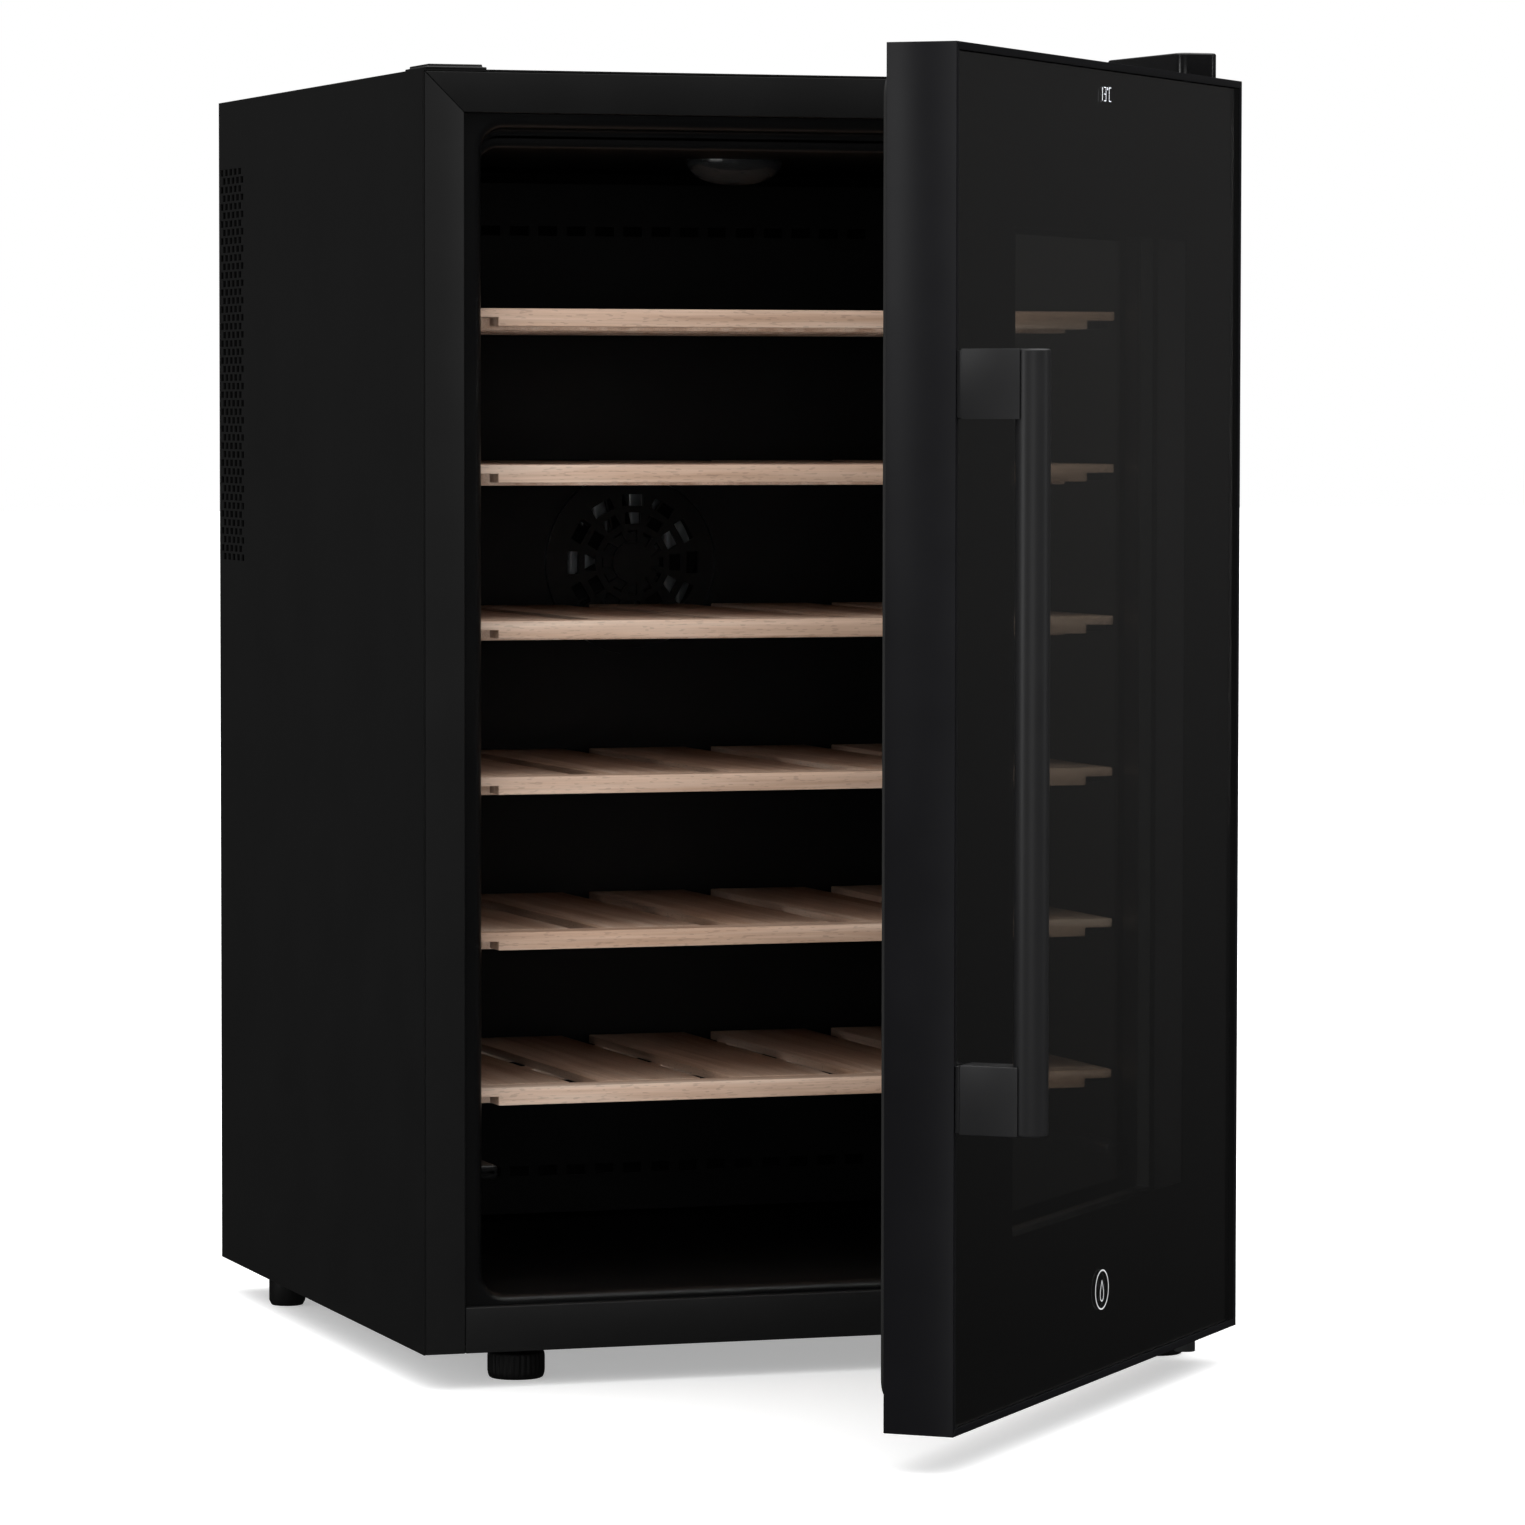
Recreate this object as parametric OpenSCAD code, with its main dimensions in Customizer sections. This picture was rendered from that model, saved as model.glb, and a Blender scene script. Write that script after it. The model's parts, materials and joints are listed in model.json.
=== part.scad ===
// Free-standing bottle cooler: steel cabinet, moulded liner, six sliding beech shelves,
// glass door on two pivots, thermoelectric cold unit in the back.
// Millimetres. Z = 0 is the floor, +Y is the back, +X is the hinge side.

/* [Cabinet] */
// outside width of the cabinet
body_w = 460; // [440:5:500]
// outside depth of the cabinet, without the door
body_d = 460; // [455:1:500]
// outside height of the cabinet, without the feet
body_h = 710; // [705:1:730]
// gap between the floor and the underside
foot_h = 20; // [18:1:26]
// sheet thickness of the outer panels
sheet = 1; // [0.8:0.1:1.4]

/* [Front frame] */
// width of the two upright frame members
stile_w = 24; // [22:1:26]
// height of the top frame member
top_rail_h = 23.5; // [22:0.5:26]
// height of the bottom frame member
bottom_rail_h = 25.5; // [24:0.5:28]
// how far the liner's flange stands back from the frame's face
flange_back = 6; // [4:1:8]

/* [Inside] */
// clear width of the liner
inside_w = 387; // [380:1:387]
// corner radius of the liner
liner_r = 13; // [8:1:16]
// wall thickness of the liner
liner_t = 2; // [1.5:0.5:3]
// depth from the frame's face to the liner's back wall
liner_d = 390; // [388:1:392]
// moulded ledge's width
ledge_w = 14; // [12:1:15]

/* [Shelves] */
// height of the lowest shelf's top above the cabinet's underside
shelf_low = 142.7; // [138:0.1:146]
// distance between shelves
shelf_pitch = 87.4; // [86:0.1:88]
// clear gap between two slats, where a bottle lies
slat_gap = 17; // [14:1:22]
// distance between two bottle gaps
bottle_pitch = 78; // [76:1:80]
// setback of the shelf's front from the frame's face
shelf_y = 45; // [42:1:48]

/* [Door] */
// angle that the door stands open, in degrees
door_open = 49.2; // [0:0.1:60]
// thickness of the door's frame
door_t = 38; // [36:1:42]
// printed border around the window
border = 92; // [70:1:110]
// distance of the pivot from the door's hinge edge
pivot_in = 14; // [12:1:14]
// diameter of the handle's bar
bar_d = 18; // [14:1:20]
// length of the handle's bar
bar_len = 399; // [300:1:450]

/* [Hidden] */
$fn = 48;

// the cabinet stands so that the whole object, door ajar, is centred over the origin
cab_x = -7.5;
cab_y = -31;
half_w = body_w / 2;
z0 = foot_h;
z1 = foot_h + body_h;
half_in = inside_w / 2;

steel_black = [0.10, 0.10, 0.105];
plastic_black = [0.07, 0.07, 0.075];
beech = [0.78, 0.62, 0.47];
alu = [0.75, 0.76, 0.78];

// vent field of a side panel
vent_w = 6.5;
vent_h = 4;
vent_pitch_y = 11;
vent_pitch_z = 5.2;
vent_rows = 46;
vent_columns = 5;
vent_z = z0 + body_h - 277;
vent_from_back = 57;
vent_rebate = 17;

// front frame
frame_depth = 14;
frame_skin = 1.5;
frame_gap = 0.2;
frame_x = half_w - sheet - frame_gap;
stile_in = half_w - stile_w;
rail_top_z = z1 - top_rail_h;
rail_bottom_z = z0 + bottom_rail_h;

// liner
mouth_low = z0 + 30.8;
mouth_high = z1 - 31.5;
ceiling_z = z1 - 42;
collar_end = flange_back + 14;
back_out = liner_d + liner_t;
foam_back = back_out + 20;

// shelf
shelf_half = half_in - 3.5;
rail_h = 10;
rail_y = 18;
slat_t = 5;
notch_w = 16.5;
ledge_h = 4.4;
ledge_start = shelf_y + rail_y + 2;
ledge_end = 332;
spare_ledge_start = collar_end + 6;
spare_ledge_h = 8;
spare_ledge_z = z0 + 101.5;
rail_tongue_w = 30;
batten_w = 18;
deck_gap = 3;
deck_y0 = shelf_y + rail_y + deck_gap;
deck_y1 = 338;
batten_h = 7;
fit = 0.3;

// cold unit
unit_z = z0 + 430;
cover_y = 346;
cover_t = 2.5;
cover_rim_r = 56;
grille_turn = 30; // angle between two slots of one ring
grille_spread = 0.18; // slot half-height over its ring's radius
inner_rings = [16, 27, 38];
outer_rings = [20, 33, 46];
inner_slot = 3.5;
outer_slot = 4;
duct_slots = 8; // on each side of the middle
duct_slot_w = 12;
duct_slot_h = 6;
duct_pitch = 18;
fan_t = 15;
fan_wall = 2;
fan_hole_in = 5;
fan_hole_r = 2;
fan_hub_r = 17;
fan_spider = 2.5;
axle_r = 2;
rotor_hub_r = 18;
rotor_wall = 2.5;
rotor_clear = 3.5;
blades = 7;
blade_tilt = 32;
blade_t = 1.4;
cold_fan = 92;
cold_fan_y = cover_y + cover_t;
cold_sink_y = cold_fan_y + fan_t;
sink_base = 4;
fin_t = 1.2;
cold_sink_w = 100;
cold_fins = 13; // gaps between fins
hot_sink_w = 120;
hot_fins = 17;
pump_s = 40;
hot_sink_y = foam_back;
hot_sink_d = 22;
hot_fan = 110;
hot_fan_y = hot_sink_y + hot_sink_d;
rear_y = body_d - sheet;
intake_slots = 6; // on each side of the middle
intake_w = 8;
intake_pitch = 14;
intake_z = z0 + 190;
intake_h = 60;
inlet_x = -150;
inlet_z = z0 + 62;
inlet_w = 30;
inlet_h = 24;
inlet_wall = 3;
inlet_rim = 4;
inlet_deep = 22;

// lamp in the ceiling
lamp_y = 150;
lamp_half = 14;
lamp_r = 15;
lamp_wall = 1.5;

// door, measured in its closed pose
door_gap = 7.5;
door_y1 = -door_gap;
door_y0 = door_y1 - door_t;
door_z0 = z0 + 0.5;
door_z1 = z1 - 0.5;
lip_w = 4;
profile_w = 22;
web = 2.4;
glass_t = 4;
glass_y = door_y0 + 0.5;
print_y = glass_y + glass_t;
print_t = 0.6;
ledge_y = print_y + print_t;
pane_gap = 0.7;
hinge_groove = 4;
win_x = half_w - border;
win_z0 = door_z0 + border;
win_z1 = door_z1 - border;
inner_glass_y = door_y1 - 14;
spacer_in = 8;
spacer_w = 10;
gasket_in = 12;
gasket_w = 10;
gasket_h = 6.8;
pin_x = half_w - pivot_in;
pin_y = door_y1 - 12;
pin_r = 4;
pin_run = 18;
bush_r = 7;
bush_z = 20;
plate_t = 3;
hinge_screw_r = 2;
hinge_head_r = 3.6;
hinge_head_h = 2.2;
lid_h = 15;
lid_wall = 1.5;
lid_cut = 4.5;
pad_r = 16.2;
lock_nut_r = 8;
rear_foot_r = 11;
rear_stud_r = 3;
ear_r = 8.4;
handle_x = -half_w + 10;
handle_out = 38;
bracket_h = 35.5;
bracket_w = 18;
bracket_out = 34;
screw_r = 2.5;
screw_head_r = 4.5;
play = 0.05;
mitre_gap = 0.1;
display_half = 32;
foot_left = [-165, 40];
foot_right = [213, 18];
rear_foot = [half_w - 20, body_d - 83];
screw_places = [[half_w - 16, 41], [half_w - 21, 55], [half_w - 11, 55]];

module cab() { translate([cab_x, cab_y, 0]) children(); }

module door() {
    cab() translate([pin_x, pin_y, 0]) rotate([0, 0, door_open])
        translate([-pin_x, -pin_y, 0]) children();
}

// a box from one corner to the other
module box(a, b) { translate(a) cube(b - a); }

// a rounded rectangle in X and Z, carried from y0 to y1
module slab(x, za, zb, r, y0, y1) {
    translate([0, y1, 0]) rotate([90, 0, 0]) linear_extrude(y1 - y0) {
        translate([-x + r, za]) square([2 * x - 2 * r, zb - za]);
        translate([-x, za + r]) square([2 * x, zb - za - 2 * r]);
        for (sx = [-1, 1], z = [za + r, zb - r]) translate([sx * (x - r), z]) circle(r);
    }
}

// a rod along Y from y0 to y1
module rod_y(x, z, r, y0, y1) {
    translate([x, y1, z]) rotate([90, 0, 0]) cylinder(r = r, h = y1 - y0);
}

// rings of slots around the fans' axis, cut from y0 to y1; w is half a slot's radial length
module slot_rings(rings, w, y0, y1) {
    for (a = [0 : grille_turn : 359], r = rings)
        translate([0, 0, unit_z]) rotate([0, a, 0])
            box([r - w, y0, -r * grille_spread], [r + w, y1, r * grille_spread]);
}

/* ---- outer cabinet ---- */

// one side panel lying flat: depth along X, height along Y, with the vent field near its back edge
module side_sheet() {
    first_y = body_d - vent_from_back;
    linear_extrude(sheet) difference() {
        square([body_d, body_h - sheet]);
        for (r = [0 : vent_rows - 1], c = [0 : vent_columns - 1])
            translate([first_y + (c + (r % 2) / 2) * vent_pitch_y, vent_z - z0 + r * vent_pitch_z])
                square([vent_w, vent_h], center = true);
    }
}

module side_panel(at_x) {
    color(steel_black) cab() translate([at_x, 0, z0]) rotate([90, 0, 90]) side_sheet();
}
module side_panel_left() { side_panel(-half_w); }
module side_panel_right() { side_panel(half_w - sheet); }

module top_panel() {
    color(steel_black) cab() difference() {
        box([-half_w, 0, z1 - sheet], [half_w, body_d, z1]);
        hinge_screw_places() translate([0, 0, z1 - 2]) cylinder(r = hinge_screw_r + play, h = 4);
    }
}

module base_plate() {
    color(steel_black) cab() difference() {
        box([-frame_x, frame_depth + 0.5, z0], [frame_x, rear_y - 0.5, z0 + 2]);
        for (p = [foot_left, foot_right])
            translate([p[0], p[1], z0 - 1]) cylinder(r = pin_r + play, h = 4);
        for (s = [-1, 1])
            translate([s * rear_foot[0], rear_foot[1], z0 - 1]) cylinder(r = rear_stud_r + play, h = 4);
        hinge_screw_places() translate([0, 0, z0 - 1]) cylinder(r = hinge_screw_r + play, h = 4);
    }
}

module rear_cover() {
    color(steel_black) cab() difference() {
        box([-frame_x, rear_y, z0 + 1], [frame_x, body_d, z1 - sheet - 0.2]);
        // rings of slots in front of the hot fan
        slot_rings(outer_rings, outer_slot, rear_y - 1, body_d + 1);
        // intake slots low down
        for (i = [-intake_slots : intake_slots])
            box([i * intake_pitch - intake_w / 2, rear_y - 1, intake_z],
                [i * intake_pitch + intake_w / 2, body_d + 1, intake_z + intake_h]);
        box([inlet_x, rear_y - 1, inlet_z], [inlet_x + inlet_w, body_d + 1, inlet_z + inlet_h]);
    }
}

// channel section of a frame upright: face, outer return and inner return
module stile_bar() {
    box([-frame_x, 0, z0], [-stile_in, frame_skin, z1 - sheet]);
    box([-frame_x, 0, z0], [-frame_x + frame_skin, frame_depth, z1 - sheet]);
    box([-stile_in - frame_skin, 0, z0], [-stile_in, frame_depth, z1 - sheet]);
}

// everything above the mitre line at the frame's top left corner
module above_mitre(spread) {
    translate([0, frame_depth + 1, 0]) rotate([90, 0, 0]) linear_extrude(frame_depth + 2)
        polygon([[-half_w - 5, z1 + 5 * top_rail_h / stile_w + spread],
                 [-stile_in, rail_top_z + spread],
                 [-stile_in + 40, rail_top_z + spread],
                 [-stile_in + 40, z1 + 40],
                 [-half_w - 5, z1 + 40]]);
}

module frame_stile_left() {
    color(steel_black) cab() difference() {
        stile_bar();
        above_mitre(-frame_gap);
    }
}

module frame_stile_right() {
    color(steel_black) cab() mirror([1, 0, 0]) difference() {
        stile_bar();
        above_mitre(-frame_gap);
    }
}

module frame_rail_top() {
    top = z1 - sheet - frame_gap;
    color(steel_black) cab() intersection() {
        union() {
            box([-frame_x, 0, rail_top_z], [frame_x, frame_skin, top]);
            box([-frame_x, 0, rail_top_z], [frame_x, frame_depth, rail_top_z + frame_skin]);
            box([-frame_x, 0, top - frame_skin], [frame_x, frame_depth, top]);
        }
        union() {
            above_mitre(0);
            mirror([1, 0, 0]) above_mitre(0);
            box([-stile_in + 39, -1, rail_top_z - 1], [stile_in - 39, frame_depth + 1, z1]);
        }
    }
}

module frame_rail_bottom() {
    x = stile_in - frame_gap;
    color(steel_black) cab() {
        box([-x, 0, z0], [x, frame_skin, rail_bottom_z]);
        box([-x, 0, z0], [x, frame_depth, z0 + frame_skin]);
        box([-x, 0, rail_bottom_z - frame_skin], [x, frame_depth, rail_bottom_z]);
    }
}

/* ---- liner and insulation ---- */

module ledge_pair(top, height, start) {
    for (s = [-1, 1])
        translate([s * (half_in + 0.5 - (ledge_w + 0.5) / 2), start, top - height])
            translate([-(ledge_w + 0.5) / 2, 0, 0]) cube([ledge_w + 0.5, ledge_end - start, height]);
}

module liner() {
    color(plastic_black) cab() {
        difference() {
            union() {
                box([-stile_in + 0.2, flange_back, rail_bottom_z + 0.2],
                    [stile_in - 0.2, flange_back + liner_t, rail_top_z - 0.2]);
                slab(half_in + liner_t, mouth_low - liner_t, mouth_high + liner_t,
                    liner_r + liner_t, flange_back, collar_end);
                slab(half_in + liner_t, mouth_low - liner_t, ceiling_z + liner_t,
                    liner_r + liner_t, collar_end - liner_t, back_out);
            }
            slab(half_in, mouth_low, mouth_high, liner_r, flange_back - 1, collar_end - liner_t);
            slab(half_in, mouth_low, ceiling_z, liner_r, collar_end - liner_t - 1, liner_d);
            box([-pump_s / 2 - 1, liner_d - 1, unit_z - pump_s / 2 - 1],
                [pump_s / 2 + 1, back_out + 1, unit_z + pump_s / 2 + 1]);
        }
        for (i = [0 : 5])
            ledge_pair(z0 + shelf_low + i * shelf_pitch - slat_t - fit, ledge_h, ledge_start);
        // a spare pair, lower than the lowest shelf
        ledge_pair(spare_ledge_z, spare_ledge_h, spare_ledge_start);
    }
}

module foam() {
    in_x = half_in + liner_t;
    color([0.85, 0.78, 0.55]) cab() difference() {
        box([-frame_x, frame_depth + 0.5, z0 + 2.5], [frame_x, foam_back, z1 - sheet]);
        slab(in_x, mouth_low - liner_t, mouth_high + liner_t, liner_r + liner_t, 0, collar_end);
        slab(in_x, mouth_low - liner_t, ceiling_z + liner_t, liner_r + liner_t, 1, back_out);
        box([-pump_s / 2 - 1, 300, unit_z - pump_s / 2 - 1],
            [pump_s / 2 + 1, foam_back + 1, unit_z + pump_s / 2 + 1]);
        // rebates behind the vent fields
        for (s = [0, 1])
            mirror([s, 0, 0])
                box([frame_x - vent_rebate, foam_back - vent_rebate, vent_z - vent_pitch_z],
                    [frame_x + 1, foam_back + 1, vent_z + vent_rows * vent_pitch_z]);
        for (p = [foot_left, foot_right])
            translate([p[0], p[1], z0]) cylinder(r = 6, h = 18);
        for (s = [-1, 1])
            translate([s * rear_foot[0], rear_foot[1], z0]) cylinder(r = 5, h = 12);
        hinge_screw_places() {
            translate([0, 0, z0]) cylinder(r = 3, h = 12);
            translate([0, 0, z1 - 13]) cylinder(r = 3, h = 14);
        }
    }
}

module inner_back_cover() {
    x = half_in - 6;
    color(plastic_black) cab() difference() {
        union() {
            box([-x, cover_y, mouth_low + 3], [x, cover_y + cover_t, ceiling_z - 8.5]);
            // folded sides that close the air duct behind the cover
            for (s = [-1, 1])
                box([s * x - 1.25, cover_y, mouth_low + 12], [s * x + 1.25, liner_d - 0.2, ceiling_z - 20]);
            // raised rim around the fan's grille
            rod_y(0, unit_z, cover_rim_r, cover_y - 3, cover_y + 1);
        }
        rod_y(0, unit_z, cover_rim_r - 4, cover_y - 4, cover_y);
        slot_rings(inner_rings, inner_slot, cover_y - 5, cover_y + cover_t + 1);
        // outlets at the top and at the bottom of the duct
        for (i = [-duct_slots : duct_slots], z = [ceiling_z - 40, mouth_low + 26])
            box([i * duct_pitch - duct_slot_w / 2, cover_y - 1, z],
                [i * duct_pitch + duct_slot_w / 2, cover_y + cover_t + 1, z + duct_slot_h]);
    }
}

/* ---- cold unit ---- */

module fan_frame(size, y) {
    hole = size / 2 - fan_hole_in;
    back = y + fan_t;
    color([0.12, 0.12, 0.12]) cab() {
        difference() {
            box([-size / 2, y, unit_z - size / 2], [size / 2, back, unit_z + size / 2]);
            rod_y(0, unit_z, size / 2 - fan_wall, y - 1, back + 1);
            for (sx = [-1, 1], sz = [-1, 1])
                rod_y(sx * hole, unit_z + sz * hole, fan_hole_r, y - 1, back + 1);
        }
        difference() {
            union() {
                rod_y(0, unit_z, fan_hub_r, back - fan_spider, back);
                for (a = [45 : 90 : 315])
                    translate([0, 0, unit_z]) rotate([0, a, 0])
                        box([10, back - fan_spider, -2], [size / 2 - 1, back, 2]);
            }
            rod_y(0, unit_z, axle_r + play, y, back + 1);
        }
    }
}

module fan_rotor(size, y) {
    tip_r = size / 2 - rotor_clear;
    back = y + fan_t;
    color([0.14, 0.14, 0.14]) cab() {
        difference() {
            rod_y(0, unit_z, rotor_hub_r, y + 1, back - 3.2);
            rod_y(0, unit_z, rotor_hub_r - rotor_wall, y + 3, back - 3);
        }
        rod_y(0, unit_z, axle_r, y + 2, back - 0.6);
        intersection() {
            for (a = [0 : 360 / blades : 359])
                translate([0, y + fan_t / 2 - 1.2, unit_z]) rotate([0, a, 0])
                    translate([rotor_hub_r - 1, 0, 0]) rotate([blade_tilt, 0, 0])
                        box([0, -blade_t / 2, -9], [size / 2, blade_t / 2, 9]);
            rod_y(0, unit_z, tip_r, y + 1.5, back - 4);
        }
    }
}

module cold_fan_frame() { fan_frame(cold_fan, cold_fan_y); }
module cold_fan_rotor() { fan_rotor(cold_fan, cold_fan_y); }
module hot_fan_frame() { fan_frame(hot_fan, hot_fan_y); }
module hot_fan_rotor() { fan_rotor(hot_fan, hot_fan_y); }

module cold_sink() {
    s = cold_sink_w / 2;
    color(alu) cab() {
        box([-s, liner_d - sink_base, unit_z - s], [s, liner_d, unit_z + s]);
        for (i = [0 : cold_fins])
            translate([-s + i * (cold_sink_w - fin_t) / cold_fins, cold_sink_y, unit_z - s])
                cube([fin_t, liner_d - sink_base - cold_sink_y + 0.5, cold_sink_w]);
    }
}

// the thermoelectric tile with the aluminium block that reaches through the foam
module heat_pump() {
    s = pump_s / 2;
    color([0.9, 0.9, 0.92]) cab() {
        box([-s, liner_d, unit_z - s], [s, foam_back - 4, unit_z + s]);
        box([-s - 0.5, foam_back - 4, unit_z - s - 0.5], [s + 0.5, foam_back, unit_z + s + 0.5]);
    }
}

module hot_sink() {
    s = hot_sink_w / 2;
    color(alu) cab() {
        box([-s, hot_sink_y, unit_z - s], [s, hot_sink_y + sink_base, unit_z + s]);
        for (i = [0 : hot_fins])
            translate([-s + i * (hot_sink_w - fin_t) / hot_fins, hot_sink_y + sink_base - 0.5, unit_z - s])
                cube([fin_t, hot_sink_d - sink_base + 0.5, hot_sink_w]);
    }
}

module power_board() {
    color([0.10, 0.35, 0.18]) cab() {
        box([-90, foam_back + 4, z0 + 50], [70, foam_back + 5.6, z0 + 150]);
        for (x = [-84, 64], z = [56, 144]) rod_y(x, z0 + z, 3, foam_back, foam_back + 4.2);
        box([-60, foam_back + 5, z0 + 70], [-20, foam_back + 30, z0 + 105]);
        rod_y(10, z0 + 90, 9, foam_back + 5, foam_back + 34);
        rod_y(35, z0 + 90, 9, foam_back + 5, foam_back + 34);
        box([0, foam_back + 5, z0 + 115], [50, foam_back + 20, z0 + 121]);
    }
}

// three-pole appliance inlet with a recess for the connector
module inlet_socket() {
    gap = 0.2;
    a = [inlet_x, 0, inlet_z];
    b = [inlet_x + inlet_w, 0, inlet_z + inlet_h];
    color([0.05, 0.05, 0.05]) cab() difference() {
        union() {
            box(a + [gap, rear_y - inlet_deep, gap], b + [-gap, body_d, -gap]);
            box(a + [-inlet_rim, body_d, -inlet_rim], b + [inlet_rim, body_d + 2, inlet_rim]);
        }
        box(a + [inlet_wall, rear_y - inlet_deep + 5, inlet_wall],
            b + [-inlet_wall, body_d + 3, -inlet_wall]);
    }
}

module lamp_pill(r) {
    translate([-lamp_half, 0, 0]) rotate([0, 90, 0]) cylinder(r = r, h = 2 * lamp_half);
    for (s = [-1, 1]) translate([s * lamp_half, 0, 0]) sphere(r);
}

module lamp_lens() {
    color([0.85, 0.87, 0.85, 0.6]) cab() translate([0, lamp_y, ceiling_z]) difference() {
        lamp_pill(lamp_r);
        lamp_pill(lamp_r - lamp_wall);
        box([-60, -60, 0], [60, 60, 60]);
    }
}

module lamp_board() {
    color([0.9, 0.9, 0.9]) cab() translate([0, lamp_y, ceiling_z]) {
        box([-22, -8, -1.6], [22, 8, 0]);
        for (x = [-lamp_half, 0, lamp_half]) box([x - 2, -2, -3], [x + 2, 2, -1.5]);
    }
}

/* ---- hinges and feet ---- */

module hinge_screw_places() {
    for (p = screw_places) translate([p[0], p[1], 0]) children();
}

// flat bracket that lies on the cabinet and reaches forward to the pivot
module hinge_flat(z) {
    difference() {
        union() {
            box([pin_x - ear_r - 2, 4, z], [pin_x + ear_r, 63, z + plate_t]);
            box([pin_x - ear_r, pin_y, z], [pin_x + ear_r, 5, z + plate_t]);
            translate([pin_x, pin_y, z]) cylinder(r = ear_r, h = plate_t);
        }
        hinge_screw_places() translate([0, 0, z - 1]) cylinder(r = hinge_screw_r + play, h = plate_t + 2);
    }
}

module hinge_plate_top() {
    color(alu) cab() {
        hinge_flat(z1);
        translate([pin_x, pin_y, z1 - pin_run]) cylinder(r = pin_r, h = pin_run + plate_t);
    }
}

module hinge_plate_bottom() {
    color(alu) cab() difference() {
        union() {
            hinge_flat(z0 - plate_t);
            translate([pin_x, pin_y, z0 - plate_t]) cylinder(r = pin_r, h = pin_run + plate_t);
            translate([pin_x, pin_y, z0 - 14]) cylinder(r = 6, h = 12);
        }
        translate([foot_right[0], foot_right[1], z0 - plate_t - 1])
            cylinder(r = pin_r + play, h = plate_t + 2);
    }
}

// plan of the hinge cover, drawn in by w on every side: tapered, with two cut front corners
module cover_plan(w) {
    cut = lid_cut;
    front = pin_y - 10;
    left = pin_x - 10.3;
    right = half_w - 0.6;
    slip = w * tan(22.5);
    polygon([[half_w - 31 + w, 66 - w], [right - w, 66 - w],
             [right - w, front + cut + slip], [right - cut - slip, front + w],
             [left + cut + slip, front + w], [left + w, front + cut + slip]]);
}

module hinge_cover() {
    lift = 0.6;
    color(plastic_black) cab() translate([0, 0, z1]) difference() {
        translate([0, 0, lift]) linear_extrude(lid_h - lift) cover_plan(0);
        translate([0, 0, -1]) linear_extrude(lid_h + 1 - lid_wall) cover_plan(lid_wall);
    }
}

module hinge_cap_left() {
    color(plastic_black) cab() {
        box([-half_w + 3, 4, z1], [-half_w + 38, 46, z1 + 1.5]);
        box([-half_w + 5, 6, z1 + 1], [-half_w + 36, 44, z1 + 3]);
    }
}

module hinge_screws() {
    color(alu) cab() hinge_screw_places() {
        translate([0, 0, z1 + plate_t]) cylinder(r = hinge_head_r, h = hinge_head_h);
        translate([0, 0, z1 - 10]) cylinder(r = hinge_screw_r, h = 10 + plate_t + 0.5);
        translate([0, 0, z0 - plate_t - hinge_head_h]) cylinder(r = hinge_head_r, h = hinge_head_h);
        translate([0, 0, z0 - plate_t - 0.5]) cylinder(r = hinge_screw_r, h = 11);
    }
}

// levelling foot: pad, lock nut and threaded stud
module foot_front(p) {
    pad_h = foot_h - 5;
    color(plastic_black) cab() translate([p[0], p[1], 0]) {
        cylinder(r1 = pad_r - 1.7, r2 = pad_r, h = 4);
        translate([0, 0, 4]) cylinder(r = pad_r, h = pad_h - 4);
        translate([0, 0, pad_h]) cylinder(r = lock_nut_r, h = 1.6);
        translate([0, 0, pad_h - 1]) cylinder(r = pin_r, h = 22);
    }
}
module foot_front_left() { foot_front(foot_left); }
module foot_front_right() { foot_front(foot_right); }

module feet_rear() {
    color(plastic_black) cab() for (s = [-1, 1])
        translate([s * rear_foot[0], rear_foot[1], 0]) {
            cylinder(r1 = rear_foot_r - 1.5, r2 = rear_foot_r, h = 3);
            translate([0, 0, 3]) cylinder(r = rear_foot_r, h = foot_h - 3);
            cylinder(r = rear_stud_r, h = foot_h + 10);
        }
}

/* ---- door, drawn closed and turned about its pivots ---- */

// hollow section of the door's frame, along Z, at the free edge
module door_bar_free() {
    x0 = -half_w;
    box([x0, door_y0, door_z0], [x0 + lip_w, door_y1, door_z1]);
    box([x0, ledge_y, door_z0], [x0 + profile_w, ledge_y + web, door_z1]);
    box([x0, door_y1 - web, door_z0], [x0 + profile_w, door_y1, door_z1]);
    box([x0 + profile_w - web, ledge_y, door_z0], [x0 + profile_w, door_y1, door_z1]);
}

// hollow section of the door's frame, along X, at height z, opening towards +Z
module door_bar_low() {
    z = door_z0;
    box([-half_w, door_y0, z], [half_w, door_y1, z + lip_w]);
    box([-half_w, ledge_y, z], [half_w, ledge_y + web, z + profile_w]);
    box([-half_w, door_y1 - web, z], [half_w, door_y1, z + profile_w]);
    box([-half_w, ledge_y, z + profile_w - web], [half_w, door_y1, z + profile_w]);
}

// the wedge of space that belongs to the lower bar between the two corner mitres
module low_wedge(inset) {
    deep = profile_w + 3;
    translate([0, 1, 0]) rotate([90, 0, 0]) linear_extrude(door_t + 20)
        polygon([[-half_w - 1 + inset, door_z0 - 1], [half_w + 1 - inset, door_z0 - 1],
                 [half_w - deep - inset, door_z0 + deep], [-half_w + deep + inset, door_z0 + deep]]);
}

module flip_z() {
    translate([0, 0, door_z0 + door_z1]) mirror([0, 0, 1]) children();
}

module bush_seat() {
    for (z = [door_z0 - 1, door_z1 - bush_z])
        translate([pin_x, pin_y, z]) cylinder(r = bush_r, h = bush_z + 1);
}

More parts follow.
